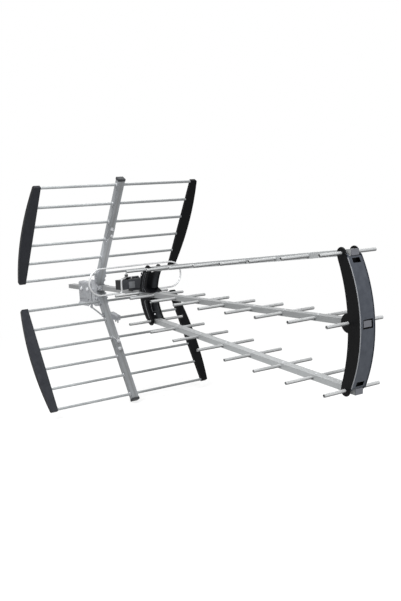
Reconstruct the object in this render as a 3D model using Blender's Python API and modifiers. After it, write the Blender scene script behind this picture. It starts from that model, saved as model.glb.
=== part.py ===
# Three-boom television antenna with a two-winged reflector, for a vertical mast.
# Metres, +Z up, +X towards the front. The origin lies in the mast's axis at the height
# of the U-bolt. The shapes are laid out from the middle boom's centre line above the
# mast, and the whole is moved to the mast's axis at the end.

import math

import bmesh
import bpy
from mathutils import Matrix, Vector

# Clearances between pieces
FIT = 0.0003
BEHIND = 0.002

# Directors: round rods across the booms
DIRECTOR_DIAMETER = 0.007
ROD_WALL = 0.0008
DIRECTOR_LENGTH = 0.160
FRONT_DIRECTOR_LENGTH = 0.146
DIRECTOR_PITCH = 0.100
REAR_DIRECTOR_PITCH = 0.075
OUTER_DIRECTORS = 8
MIDDLE_DIRECTORS = 9

# Booms: flat rectangular tubes, the outer two fanned out from the middle one
BOOM_WIDTH = 0.020
BOOM_HEIGHT = 0.012
BOOM_WALL = 0.0012
FRONT_STATION = 1.080
OUTER_SETBACK = 0.013
OUTER_FRONT_HEIGHT = 0.1305
FAN_ANGLE = math.radians(5.2)
MIDDLE_NOSE = 0.032
OUTER_NOSE = 0.019
OUTER_TAIL = 0.013
TAIL_LENGTH = 0.114
TAIL_DROP = 0.0075
TAIL_FRONT_X = 0.0550
MIDDLE_BOOM_REAR_X = 0.058

# Reflector wings
WING_ANGLE = math.radians(30)
WING_START_X = 0.080
WING_START_Z = 0.040
WING_RODS = 6
WING_PITCH = 0.057
WING_ROD_DIAMETER = 0.007
WING_ROD_SPAN = 0.458
ARM_WIDTH = 0.020
ARM_DEPTH = 0.015
ARM_WALL = 0.0012
ARM_OVERRUN = 0.020
ARM_CAP = 0.005
STRIP_OVERRUN = 0.005
STRIP_WIDTH_END = 0.0195
STRIP_WIDTH_MIDDLE = 0.032
STRIP_THICKNESS = 0.0105
STRIP_CORNER = 0.002
SOCKET_DEPTH = 0.011
STRIP_RIM = 0.003
STRIP_PANEL_DEPTH = 0.0025
STRIP_EDGE = 0.0008

# Front spacer: a bowed channel that holds the three boom noses
FRONT_SPACER_WIDTH = 0.038
FRONT_SPACER_WALL = 0.0035
FRONT_SPACER_WEB = 0.003
FRONT_BOW_RADIUS = 0.290
FRONT_REAR_RADIUS = 0.345
FRONT_SPACER_DEPTH = 0.034
FRONT_REAR_SETBACK = 0.001
WEB_BELOW_ROD = 0.0055
SLOT_BELOW_ROD = 0.018
SLOT_HEIGHT = 0.009
SLOT_DEPTH = 0.006
SLOT_FLOOR = 0.002
LOBE_RADIUS = 0.0115
BOSS_RADIUS = 0.019
BOSS_EDGE = 0.0186
WINDOW_MARGIN = 0.003
EDGE_RADIUS = 0.001
BORDER_WIDTH = 0.0025
BORDER_HEIGHT = 0.0010

# Rear spacers: two bowed channels above and below the middle boom
REAR_SPACER_WIDTH = 0.036
REAR_SPACER_WALL = 0.003
REAR_SPACER_WEB = 0.003
REAR_SPACER_FRONT_X = 0.358
REAR_SPACER_DEPTH = 0.034
REAR_FRONT_BOW = 0.026
REAR_BACK_BOW = 0.028
REAR_WEB_BELOW_ROD = 0.0069
REAR_LOBE_RADIUS = 0.0145
REAR_LOBE_INSET = 0.0035
REAR_SHOULDER = 0.005
FLOOR_THICKNESS = 0.004
FOOT_THICKNESS = 0.003
FOOT_TOE = 0.020
FOOT_HEEL = 0.004
HEEL_HEIGHT = 0.0042
TOE_HEIGHT = 0.011
SPACER_SCREW_DIAMETER = 0.004
SPACER_SCREW_HEAD = 0.008

# Folded dipole: one rod bent to a flat loop whose ends rise to the feed box
DIPOLE_DIAMETER = 0.0045
DIPOLE_SPAN = 0.286
DIPOLE_HEIGHT = 0.0735
DIPOLE_BOTTOM_Z = 0.0035
DIPOLE_GAP_HALF = 0.047
DIPOLE_BEND = 0.006
TERMINAL_Y = 0.0250
TERMINAL_BACK = 0.010
EYELET_RADIUS = 0.0052
STUD_DIAMETER = 0.004
STUD_HEIGHT = 0.017
KNOB_LIFT = 0.0102
KNOB_RADIUS = 0.0045
KNOB_HEIGHT = 0.006

# Feed box with its hinged cover and the board inside
BOX_FRONT_X = 0.279
BOX_DEPTH = 0.024
BOX_LIFT = 0.0042
BOX_WIDTH = 0.098
BOX_HEIGHT = 0.026
BOX_WALL = 0.002
BOX_EDGE = 0.0015
COVER_THICKNESS = 0.002
COVER_RIM = 0.0015
COVER_NECK = 0.0018
KNUCKLE_RADIUS = 0.0024
PIN_RADIUS = 0.001
BOX_KNUCKLE_Y = 0.014
BOX_KNUCKLE_LENGTH = 0.008
COVER_KNUCKLE_LENGTH = 0.012
PIN_REACH = 0.006
CHEEK_DROP = 0.0065
CHEEK_THICKNESS = 0.003
CHEEK_INSET = 0.003
BOSS_RISE = 0.0010
TERMINAL_BOSS_RADIUS = 0.0056
BOARD_THICKNESS = 0.0016
BOARD_MARGIN = 0.004
COIL_SIZE = 0.014
COIL_DEPTH = 0.004
COIL_Y = -0.005
SOCKET_Y = 0.032
SOCKET_RADIUS = 0.0048
SOCKET_NUT_RADIUS = 0.0075
SOCKET_NUT_HEIGHT = 0.002
SOCKET_LENGTH = 0.014
SOCKET_BORE = 0.0022

# Hub plates: one on each side of the arms and the middle boom
HUB_THICKNESS = 0.0025
HUB_REAR_X = 0.042
HUB_FRONT_X = 0.101
HUB_SPINE_TOP = 0.022
HUB_SPINE_BOTTOM = 0.050
HUB_LEG = 0.010
HUB_LEG_HALF = 0.0072
HUB_NOSE_HALF = 0.0065
HUB_CROTCH = 0.0045
HUB_HEEL_X = 0.060
HUB_HEEL_DROP = 0.0045
HUB_WINDOW = (0.0654, -0.0340)
HUB_WINDOW_RADIUS = 0.0045
HUB_NOTCH = (0.0631, -0.0250)
HUB_NOTCH_RADIUS = 0.003
BOLT_DIAMETER = 0.005
BOLT_HEAD_RADIUS = 0.005
BOLT_HEAD_HEIGHT = 0.0035
BOLT_END = 0.003
ARM_BOLTS = (-0.024, -0.0105)
BOOM_BOLTS = (0.078, 0.093)
TAIL_BOLT = 0.0485

# Mast clamp: a folded channel over the boom, with a U-bolt and a toothed jaw
CLAMP_REAR_X = -0.040
CLAMP_FRONT_X = 0.038
CLAMP_TOP = 0.0130
CLAMP_DROP = 0.048
TAB_REAR_X = 0.027
TAB_FRONT_X = 0.0375
TAB_BOTTOM = -0.063
CLAMP_SHEET = 0.0025
CLAMP_BEND = 0.005
LIP_OUT = 0.007
LIP_DOWN = 0.008
CLAMP_BOLTS = (-0.020, 0.018)
SLOT_REAR_X = -0.034
SLOT_FRONT_X = 0.006
SLOT_FLAT = 0.0032
GROOVE_DEPTH = 0.0012
UBOLT_Z = -0.040
UBOLT_DIAMETER = 0.006
MAST_DIAMETER = 0.032
NUT_RADIUS = 0.0058
NUT_HEIGHT = 0.005
LEG_TAIL = 0.003
JAW_BASE = 0.003
JAW_RISE = 0.010
JAW_HEIGHT = 0.014
JAW_TOOTH = 0.002
JAW_TEETH = 5

# Brace from the clamp to the lower arm, and the bracket behind that arm
BRACE_HALF_WIDTH = 0.0022
BRACE_THICKNESS = 0.002
BRACE_SPACER_RADIUS = 0.0036
BRACE_HEAD_RADIUS = 0.0032
BRACE_HEAD_HEIGHT = 0.0014
BRACE_RIVET_RADIUS = 0.0017
BRACE_ARM_S = 0.044
BRACE_REAR_X = 0.0325
BRACE_REAR_Z = -0.0575
ANCHOR_LENGTH = 0.041
ANCHOR_HEIGHT = 0.0135
ANCHOR_DEPTH = 0.015
ANCHOR_SHEET = 0.002
ANCHOR_BEHIND = 0.0082
ANCHOR_RISE = 0.0048
ANCHOR_TURN = math.radians(11)
ANCHOR_BOLT_DIAMETER = 0.004
ANCHOR_BOLT_LENGTH = 0.024
ANCHOR_BOLT_OUT = 0.0105
ANCHOR_BOLT_END = 0.0012
ANCHOR_BOLTS = (("rear", 0.0227), ("front", 0.0345))

# Facets of round pieces
ROUND = 12
SMALL_ROUND = 8
HEX = 6

ALUMINIUM = ("aluminium", (0.62, 0.63, 0.64, 1.0), 1.0, 0.38)
STEEL = ("zinc_steel", (0.48, 0.49, 0.50, 1.0), 1.0, 0.45)
SLATE = ("slate_plastic", (0.075, 0.078, 0.092, 1.0), 0.0, 0.5)
BLACK = ("black_plastic", (0.02, 0.02, 0.022, 1.0), 0.0, 0.45)
BOARD_GREEN = ("board_green", (0.03, 0.16, 0.07, 1.0), 0.0, 0.5)


def start():
    for thing in list(bpy.data.objects):
        bpy.data.objects.remove(thing, do_unlink=True)
    made = {}
    for name in ("tv_antenna", "cutters"):
        made[name] = bpy.data.collections.new(name)
        bpy.context.scene.collection.children.link(made[name])
    return made


def material(finish):
    name, colour, metallic, roughness = finish
    found = bpy.data.materials.get(name)
    if found:
        return found
    made = bpy.data.materials.new(name)
    made.use_nodes = True
    shader = made.node_tree.nodes["Principled BSDF"]
    shader.inputs["Base Color"].default_value = colour
    shader.inputs["Metallic"].default_value = metallic
    shader.inputs["Roughness"].default_value = roughness
    return made


def place(name, mesh, finish, parent=None, location=(0, 0, 0), rotation=(0, 0, 0)):
    made = bpy.data.objects.new(name, mesh)
    bpy.data.collections["tv_antenna"].objects.link(made)
    if not mesh.materials:
        mesh.materials.append(material(finish))
    made.location = location
    made.rotation_euler = rotation
    made.parent = parent
    mesh.shade_smooth()
    mesh.set_sharp_from_angle(angle=math.radians(35))
    return made


def empty(name, location, rotation=(0, 0, 0)):
    made = bpy.data.objects.new(name, None)
    bpy.data.collections["tv_antenna"].objects.link(made)
    made.location = location
    made.rotation_euler = rotation
    return made


def tool(name, mesh, parent=None, location=(0, 0, 0), rotation=(0, 0, 0)):
    made = bpy.data.objects.new(name, mesh)
    bpy.data.collections["cutters"].objects.link(made)
    made.location = location
    made.rotation_euler = rotation
    made.parent = parent
    made.hide_render = True
    made.display_type = "WIRE"
    return made


def combine(target, other, operation, solver="EXACT"):
    step = target.modifiers.new(other.name, "BOOLEAN")
    step.operation = operation
    step.solver = solver
    step.object = other
    return step


def cut(target, mesh, solver="EXACT", **where):
    combine(target, tool(mesh.name, mesh, **where), "DIFFERENCE", solver)


def add(target, mesh, solver="EXACT", **where):
    combine(target, tool(mesh.name, mesh, **where), "UNION", solver)


def solid(name, *shapes):
    """A mesh of closed shapes, each a function that fills a bmesh."""
    shape = bmesh.new()
    for fill in shapes:
        fill(shape)
    mesh = bpy.data.meshes.new(name)
    shape.to_mesh(mesh)
    shape.free()
    return mesh


def block(low, high):
    middle = (Vector(low) + Vector(high)) / 2
    size = Vector(high) - Vector(low)
    where = Matrix.Translation(middle) @ Matrix.Diagonal(size.to_4d())
    where[3][3] = 1.0
    return lambda shape: bmesh.ops.create_cube(shape, size=1.0, matrix=where)


def rod(centre, radius, length, axis="Y", sides=ROUND, tip=None):
    turn = {
        "X": Matrix.Rotation(math.pi / 2, 4, "Y"),
        "Y": Matrix.Rotation(math.pi / 2, 4, "X"),
        "Z": Matrix.Identity(4),
    }[axis]
    return lambda shape: bmesh.ops.create_cone(
        shape,
        cap_ends=True,
        segments=sides,
        radius1=radius,
        radius2=radius if tip is None else tip,
        depth=length,
        matrix=Matrix.Translation(centre) @ turn,
    )


def arc(centre, radius, start_angle, end_angle, steps):
    span = end_angle - start_angle
    angles = [start_angle + span * i / steps for i in range(steps + 1)]
    return [(centre[0] + radius * math.cos(a), centre[1] + radius * math.sin(a)) for a in angles]


def mesh_of(curve_object):
    """The evaluated curve as a mesh with its caps welded; the curve is removed."""
    graph = bpy.context.evaluated_depsgraph_get()
    mesh = bpy.data.meshes.new_from_object(curve_object.evaluated_get(graph))
    mesh.name = curve_object.name
    shape = bmesh.new()
    shape.from_mesh(mesh)
    bmesh.ops.remove_doubles(shape, verts=shape.verts, dist=0.00001)
    bmesh.ops.dissolve_limit(shape, angle_limit=0.001, verts=shape.verts, edges=shape.edges)
    bmesh.ops.recalc_face_normals(shape, faces=shape.faces)
    shape.to_mesh(mesh)
    shape.free()
    mesh.materials.clear()
    bpy.data.objects.remove(curve_object, do_unlink=True)
    return mesh


def soften(target, width, segments=1):
    edge = target.modifiers.new("edges", "BEVEL")
    edge.width = width
    edge.segments = segments
    edge.limit_method = "ANGLE"
    edge.angle_limit = math.radians(40)


def outline(name, points, thickness, plane="XZ", at=0.0):
    """A flat outline given in one plane, thickened evenly to both sides of at."""
    data = bpy.data.curves.new(name, "CURVE")
    data.dimensions = "2D"
    data.fill_mode = "BOTH"
    data.extrude = thickness / 2
    line = data.splines.new("POLY")
    line.points.add(len(points) - 1)
    for point, (a, b) in zip(line.points, points):
        point.co = (a, b, 0, 1)
    line.use_cyclic_u = True
    flat = bpy.data.objects.new(name, data)
    bpy.context.scene.collection.objects.link(flat)
    mesh = mesh_of(flat)
    if plane == "XZ":
        mesh.transform(Matrix.Translation((0, at, 0)) @ Matrix.Rotation(math.pi / 2, 4, "X"))
    if plane == "YZ":
        mesh.transform(Matrix.Translation((at, 0, 0)) @ Matrix.Rotation(math.pi / 2, 4, "Z")
                       @ Matrix.Rotation(math.pi / 2, 4, "X"))
    return mesh


def wire(name, points, radius):
    data = bpy.data.curves.new(name, "CURVE")
    data.dimensions = "3D"
    data.bevel_depth = radius
    data.bevel_resolution = 2
    data.use_fill_caps = True
    line = data.splines.new("POLY")
    line.points.add(len(points) - 1)
    for point, place_of in zip(line.points, points):
        point.co = (*place_of, 1)
    bent = bpy.data.objects.new(name, data)
    bpy.context.scene.collection.objects.link(bent)
    return mesh_of(bent)


def outer_stations():
    """Distances of the directors behind an outer boom's front director."""
    return [DIRECTOR_PITCH * i for i in range(OUTER_DIRECTORS)]


def middle_stations():
    even = [DIRECTOR_PITCH * i for i in range(MIDDLE_DIRECTORS - 1)]
    return even + [even[-1] + REAR_DIRECTOR_PITCH]


def outer_origin(side):
    return (FRONT_STATION - OUTER_SETBACK, 0, side * OUTER_FRONT_HEIGHT)


def outer_rear():
    """Where an outer boom's rearmost director lies, for the upper boom."""
    back = outer_stations()[-1]
    x, _, z = outer_origin(1)
    return (x - back * math.cos(FAN_ANGLE), z - back * math.sin(FAN_ANGLE))


def rod_holes(name, stations):
    radius = DIRECTOR_DIAMETER / 2 + FIT
    return solid(name, *[rod((-s, 0, 0), radius, BOOM_WIDTH * 2) for s in stations])


def boom(name, rear, front, stations, parent):
    """A rectangular tube along X, closed by a plug at its nose."""
    half_width = BOOM_WIDTH / 2
    half_height = BOOM_HEIGHT / 2
    shell = block((rear, -half_width, -half_height), (front, half_width, half_height))
    tube = place(name, solid(name, shell), ALUMINIUM, parent)
    inside = block(
        (rear - BEHIND, BOOM_WALL - half_width, BOOM_WALL - half_height),
        (front - BOOM_WALL, half_width - BOOM_WALL, half_height - BOOM_WALL),
    )
    cut(tube, solid(name + "_bore", inside), parent=parent)
    cut(tube, rod_holes(name + "_rod_holes", stations), parent=parent)
    return tube


def open_rod(name, diameter, length, parent, location):
    """A round tube across the boom, open at both ends."""
    tube = place(name, solid(name, rod((0, 0, 0), diameter / 2, length)), ALUMINIUM, parent, location)
    bore = solid(name + "_bore", rod((0, 0, 0), diameter / 2 - ROD_WALL, length + BEHIND))
    cut(tube, bore, parent=parent, location=location)


def directors(name, stations, parent):
    for number, back in enumerate(reversed(stations), start=1):
        length = FRONT_DIRECTOR_LENGTH if back == 0 else DIRECTOR_LENGTH
        open_rod(f"{name}_{number}", DIRECTOR_DIAMETER, length, parent, (-back, 0, 0))


def build_outer_boom(name, side):
    line = empty(name + "_line", outer_origin(side), (0, -side * FAN_ANGLE, 0))
    stations = outer_stations()
    boom(name + "_boom", -stations[-1] - OUTER_TAIL, OUTER_NOSE, stations, line)
    directors(name + "_director", stations, line)


def build_middle_boom():
    line = empty("middle_line", (FRONT_STATION, 0, 0))
    stations = middle_stations()
    rear = MIDDLE_BOOM_REAR_X - FRONT_STATION
    tube = boom("middle_boom", rear, MIDDLE_NOSE, stations, line)
    directors("middle_director", stations, line)
    bolts = [rod((x, 0, 0), BOLT_DIAMETER / 2 + FIT, BOOM_WIDTH * 2, sides=SMALL_ROUND)
             for x in BOOM_BOLTS]
    screw_hole = SPACER_SCREW_DIAMETER / 2 + FIT
    screw = rod((spacer_screw_x(), 0, 0), screw_hole, BOOM_HEIGHT * 2, "Z", SMALL_ROUND)
    cut(tube, solid("middle_boom_bolt_holes", *bolts, screw), "MANIFOLD")


def build_tail_tube():
    """Short tube behind the middle boom, a little lower, on which the mast clamp sits."""
    half_width = BOOM_WIDTH / 2
    low = -TAIL_DROP - BOOM_HEIGHT / 2
    high = low + BOOM_HEIGHT
    shell = block((-TAIL_LENGTH, -half_width, low), (TAIL_FRONT_X, half_width, high))
    tube = place("tail_tube", solid("tail_tube", shell), ALUMINIUM)
    inside = block((-TAIL_LENGTH - BEHIND, BOOM_WALL - half_width, low + BOOM_WALL),
                   (TAIL_FRONT_X + BEHIND, half_width - BOOM_WALL, high - BOOM_WALL))
    cut(tube, solid("tail_tube_bore", inside))
    bolts = [rod((x, 0, -TAIL_DROP), BOLT_DIAMETER / 2 + FIT, BOOM_WIDTH * 2, sides=SMALL_ROUND)
             for x in CLAMP_BOLTS + (TAIL_BOLT,)]
    cut(tube, solid("tail_tube_bolt_holes", *bolts))


def wing_point(s, n, side):
    """World X and Z of a point s along a wing and n in front of its rods."""
    x = WING_START_X + s * math.sin(WING_ANGLE) + n * math.cos(WING_ANGLE)
    z = WING_START_Z + s * math.cos(WING_ANGLE) - n * math.sin(WING_ANGLE)
    return (x, side * z)


def arm_start():
    """How far the arm runs inwards past the first rod before it meets the boom."""
    corner = ARM_DEPTH / 2 * math.sin(WING_ANGLE)
    return (BOOM_HEIGHT / 2 + FIT + corner - WING_START_Z) / math.cos(WING_ANGLE)


def wing_rod_places():
    return [WING_PITCH * i for i in range(WING_RODS)]


def strip_outline():
    """End strip seen across the wing: straight inner edge, bowed outer edge."""
    low = -STRIP_OVERRUN
    high = wing_rod_places()[-1] + STRIP_OVERRUN
    inner = WING_ROD_SPAN / 2
    middle = (low + high) / 2
    half = (high - low) / 2
    bow = STRIP_WIDTH_MIDDLE - STRIP_WIDTH_END
    radius = (half * half + bow * bow) / (2 * bow)
    centre = (inner + STRIP_WIDTH_MIDDLE - radius, middle)
    sweep = math.asin((half - STRIP_CORNER) / radius)
    bowed = arc(centre, radius, -sweep, sweep, 12)
    top = [(inner + STRIP_WIDTH_END - STRIP_CORNER, high), (inner, high)]
    bottom = [(inner, low), (inner + STRIP_WIDTH_END - STRIP_CORNER, low)]
    return bowed + top + bottom


def strip_panel():
    """The sunken field between a strip's rim and its rod sockets."""
    low = STRIP_RIM - STRIP_OVERRUN
    high = wing_rod_places()[-1] + STRIP_OVERRUN - STRIP_RIM
    inner = WING_ROD_SPAN / 2 + SOCKET_DEPTH + STRIP_RIM / 2
    middle = (low + high) / 2
    half = (high - low) / 2 + STRIP_RIM
    bow = STRIP_WIDTH_MIDDLE - STRIP_WIDTH_END
    radius = (half * half + bow * bow) / (2 * bow)
    centre = (WING_ROD_SPAN / 2 + STRIP_WIDTH_MIDDLE - radius, middle)
    sweep = math.asin((high - middle) / radius)
    return arc(centre, radius - STRIP_RIM, -sweep, sweep, 10) + [(inner, high), (inner, low)]


def build_strip(name, y_side, parent):
    def turned(mesh):
        swap = Matrix(((0, 0, 1, 0), (y_side, 0, 0, 0), (0, y_side, 0, 0), (0, 0, 0, 1)))
        mesh.transform(swap if y_side > 0 else swap @ Matrix.Diagonal((1, -1, 1, 1)))
        if mesh_volume(mesh) < 0:
            mesh.flip_normals()
        return mesh

    body = outline(name, strip_outline(), STRIP_THICKNESS, plane="XY")
    strip = place(name, turned(body), SLATE, parent)
    soften(strip, STRIP_EDGE)
    panel = outline(name + "_panel", strip_panel(), 2 * STRIP_PANEL_DEPTH, plane="XY")
    panel.transform(Matrix.Translation((0, 0, -STRIP_THICKNESS / 2)))
    cut(strip, turned(panel), parent=parent)
    depth = SOCKET_DEPTH + BEHIND
    centre = y_side * (WING_ROD_SPAN / 2 + SOCKET_DEPTH / 2 - BEHIND / 2)
    sockets = [rod((0, centre, s), WING_ROD_DIAMETER / 2 + FIT, depth) for s in wing_rod_places()]
    cut(strip, solid(name + "_sockets", *sockets), parent=parent)


def mesh_volume(mesh):
    shape = bmesh.new()
    shape.from_mesh(mesh)
    volume = shape.calc_volume(signed=True)
    shape.free()
    return volume


def build_wing(name, side):
    turn = (0, WING_ANGLE, 0) if side > 0 else (math.pi, -WING_ANGLE, 0)
    frame = empty(name + "_wing", (WING_START_X, 0, side * WING_START_Z), turn)
    places = wing_rod_places()
    low = arm_start()
    high = places[-1] + ARM_OVERRUN
    half_depth = ARM_DEPTH / 2
    half_width = ARM_WIDTH / 2
    shell = block((-half_depth, -half_width, low), (half_depth, half_width, high))
    arm = place(name + "_arm", solid(name + "_arm", shell), ALUMINIUM, frame)
    inside = block((ARM_WALL - half_depth, ARM_WALL - half_width, low - BEHIND),
                   (half_depth - ARM_WALL, half_width - ARM_WALL, high - ARM_CAP))
    cut(arm, solid(name + "_arm_bore", inside), parent=frame)
    holes = [rod((0, 0, s), WING_ROD_DIAMETER / 2 + FIT, ARM_WIDTH * 2) for s in places]
    bolts = ARM_BOLTS if side > 0 else ARM_BOLTS + (BRACE_ARM_S,)
    bolt_hole = BOLT_DIAMETER / 2 + FIT
    holes += [rod((0, 0, s), bolt_hole, ARM_WIDTH * 2, sides=SMALL_ROUND) for s in bolts]
    cut(arm, solid(name + "_arm_holes", *holes), parent=frame)
    reach = WING_ROD_SPAN + 2 * (SOCKET_DEPTH - FIT)
    for number, s in enumerate(places, start=1):
        open_rod(f"{name}_reflector_rod_{number}", WING_ROD_DIAMETER, reach, frame, (0, 0, s))
    build_strip(f"{name}_strip_near", -side, frame)
    build_strip(f"{name}_strip_far", side, frame)


def front_face_x(z):
    """Front face of the front spacer at height z."""
    crown = FRONT_STATION + FRONT_SPACER_DEPTH
    return crown - FRONT_BOW_RADIUS + math.sqrt(FRONT_BOW_RADIUS**2 - z * z)


def web_half_height():
    return OUTER_FRONT_HEIGHT - WEB_BELOW_ROD


def slot_heights():
    low = OUTER_FRONT_HEIGHT - SLOT_BELOW_ROD
    return (low, low + SLOT_HEIGHT)


def front_side_outline():
    """Upper half of the front spacer's side: bow, lobe, rear curve and boss, mirrored below."""
    lobe_x, _, lobe_z = outer_origin(1)
    crown = FRONT_STATION + FRONT_SPACER_DEPTH
    top = math.asin((lobe_z - LOBE_RADIUS / 3) / FRONT_BOW_RADIUS)
    bow = arc((crown - FRONT_BOW_RADIUS, 0), FRONT_BOW_RADIUS, 0, top, 12)
    lobe = arc((lobe_x, lobe_z), LOBE_RADIUS, math.radians(5), math.radians(185), 8)
    rear_crown = FRONT_STATION - FRONT_REAR_SETBACK
    rear_top = math.asin((lobe_z - LOBE_RADIUS) / FRONT_REAR_RADIUS)
    rear_low = math.asin(BOSS_EDGE / FRONT_REAR_RADIUS)
    rear = arc((rear_crown - FRONT_REAR_RADIUS, 0), FRONT_REAR_RADIUS, rear_top, rear_low, 8)
    boss = arc((FRONT_STATION, 0), BOSS_RADIUS, math.radians(104), math.radians(180), 5)
    upper = bow + lobe + rear + boss
    lower = [(x, -z) for x, z in reversed(upper[1:-1])]
    return upper + lower


def front_bow(inset, height, steps):
    """The front face's arc, inset behind it, up to height above and below the middle."""
    radius = FRONT_BOW_RADIUS - inset
    centre_x = FRONT_STATION + FRONT_SPACER_DEPTH - FRONT_BOW_RADIUS
    sweep = math.asin(height / radius)
    return arc((centre_x, 0), radius, -sweep, sweep, steps)


def front_channel_outline():
    """What is open inside the front spacer: behind the web, and right through at both ends."""
    inner_z = slot_heights()[0] - FRONT_SPACER_WEB
    web = front_bow(FRONT_SPACER_WEB, inner_z, 14)
    thick_x = front_face_x(web_half_height()) - SLOT_DEPTH - SLOT_FLOOR
    outside = FRONT_STATION + FRONT_SPACER_DEPTH + BEHIND
    top = OUTER_FRONT_HEIGHT + LOBE_RADIUS + BEHIND
    rear = FRONT_STATION - FRONT_SPACER_WIDTH * 2
    z = web_half_height()
    upper = [(thick_x, inner_z), (thick_x, z), (outside, z), (outside, top), (rear, top)]
    return web + upper + [(x, -height) for x, height in reversed(upper)]


def front_face_pocket():
    """The face between the spacer's raised edges, a little behind them."""
    outside = FRONT_STATION + FRONT_SPACER_DEPTH + BEHIND
    face = front_bow(BORDER_HEIGHT, web_half_height() + BEHIND, 16)
    return face + [(outside, face[-1][1]), (outside, face[0][1])]


def build_front_spacer():
    body = outline("front_spacer", front_side_outline(), FRONT_SPACER_WIDTH)
    spacer = place("front_spacer", body, SLATE)
    soften(spacer, EDGE_RADIUS)
    inner = FRONT_SPACER_WIDTH - 2 * FRONT_SPACER_WALL
    cut(spacer, outline("front_spacer_channel", front_channel_outline(), inner))
    pocket_width = FRONT_SPACER_WIDTH - 2 * BORDER_WIDTH
    cut(spacer, outline("front_spacer_face", front_face_pocket(), pocket_width))
    for side, word in ((1, "top"), (-1, "bottom")):
        depth_x = front_face_x(web_half_height()) - SLOT_DEPTH
        low, high = sorted(side * z for z in slot_heights())
        outside = depth_x + SLOT_DEPTH * 3
        slot = block((depth_x, -BOOM_WIDTH / 2, low), (outside, BOOM_WIDTH / 2, high))
        cut(spacer, solid("front_spacer_slot_" + word, slot))
    half_y = BOOM_WIDTH / 2 + WINDOW_MARGIN
    half_z = BOOM_HEIGHT / 2 + WINDOW_MARGIN
    crown = FRONT_STATION + FRONT_SPACER_DEPTH
    deep_x = crown - FRONT_SPACER_DEPTH / 2
    window = block((deep_x, -half_y, -half_z), (crown + BEHIND, half_y, half_z))
    cut(spacer, solid("front_spacer_window", window))
    places = [outer_origin(1), outer_origin(-1), (FRONT_STATION, 0, 0)]
    holes = [rod(p, DIRECTOR_DIAMETER / 2 + FIT, FRONT_SPACER_WIDTH * 2) for p in places]
    cut(spacer, solid("front_spacer_holes", *holes))


def spacer_screw_x():
    return REAR_SPACER_FRONT_X - REAR_SPACER_DEPTH / 2


def bowed_edge(x_middle, bow, z_from, z_to, steps):
    """Points of an edge that leans forward by bow at the height of the outer boom."""
    lobe_z = outer_rear()[1]
    heights = [z_from + (z_to - z_from) * i / steps for i in range(steps + 1)]
    return [(x_middle + bow * (z / lobe_z) ** 2, z) for z in heights]


def rear_web_top():
    return outer_rear()[1] - REAR_WEB_BELOW_ROD


def rear_side_outline():
    """Side of the upper rear spacer: toe, bowed front, lobe, bowed back and heel."""
    lobe_x, rod_z = outer_rear()
    base = BOOM_HEIGHT / 2 + FIT
    back_x = REAR_SPACER_FRONT_X - REAR_SPACER_DEPTH
    front = bowed_edge(REAR_SPACER_FRONT_X, REAR_FRONT_BOW, base + TOE_HEIGHT, rear_web_top(), 6)
    middle = (lobe_x, rod_z - REAR_LOBE_INSET)
    lobe = arc(middle, REAR_LOBE_RADIUS, math.radians(-10), math.radians(160), 9)
    back = bowed_edge(back_x, REAR_BACK_BOW, rod_z - REAR_SHOULDER, base + HEEL_HEIGHT, 6)
    toe_x = REAR_SPACER_FRONT_X + FOOT_TOE
    toe = [(toe_x, base), (toe_x, base + FOOT_THICKNESS)]
    heel = [(back_x - FOOT_HEEL, base + HEEL_HEIGHT), (back_x - FOOT_HEEL, base)]
    return toe + front + lobe + back + heel


def rear_channel_outline():
    """What is open between the side walls: behind the web and above it."""
    lobe_x, lobe_z = outer_rear()
    floor = BOOM_HEIGHT / 2 + FIT + FLOOR_THICKNESS
    web_top = rear_web_top()
    web = bowed_edge(REAR_SPACER_FRONT_X - REAR_SPACER_WEB, REAR_FRONT_BOW, floor, web_top, 7)
    outside = lobe_x + REAR_LOBE_RADIUS * 2
    top = lobe_z + REAR_LOBE_RADIUS
    rear = REAR_SPACER_FRONT_X - REAR_SPACER_DEPTH * 2
    return web + [(outside, web_top), (outside, top), (rear, top), (rear, floor)]


def mirrored(points, side):
    return points if side > 0 else [(x, -z) for x, z in reversed(points)]


def build_rear_spacer(name, side):
    body = outline(name, mirrored(rear_side_outline(), side), REAR_SPACER_WIDTH)
    spacer = place(name, body, BLACK)
    soften(spacer, EDGE_RADIUS)
    inner = REAR_SPACER_WIDTH - 2 * REAR_SPACER_WALL
    cut(spacer, outline(name + "_channel", mirrored(rear_channel_outline(), side), inner))
    screw_x = spacer_screw_x()
    floor = BOOM_HEIGHT / 2 + FIT + FLOOR_THICKNESS
    radius = SPACER_SCREW_DIAMETER / 2
    if side < 0:
        hole = rod((screw_x, 0, -floor), radius + FIT, floor, "Z", SMALL_ROUND)
        cut(spacer, solid(name + "_screw_hole", hole))
    else:
        low = -floor - SPACER_SCREW_DIAMETER
        shank = rod((screw_x, 0, (low + floor) / 2), radius, floor - low, "Z", SMALL_ROUND)
        head = rod((screw_x, 0, floor + radius / 2), SPACER_SCREW_HEAD / 2, radius * 2, "Z", SMALL_ROUND)
        add(spacer, solid(name + "_screw", shank))
        add(spacer, solid(name + "_screw_head", head))
    x, z = outer_rear()
    rod_hole = rod((x, 0, side * z), DIRECTOR_DIAMETER / 2 + FIT, REAR_SPACER_WIDTH * 2)
    cut(spacer, solid(name + "_rod_hole", rod_hole))


def box_low():
    return BOOM_HEIGHT / 2 + FIT + BOX_LIFT


def box_top():
    return box_low() + BOX_HEIGHT


def dipole_x():
    return BOX_FRONT_X + FIT + DIPOLE_DIAMETER / 2


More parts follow.
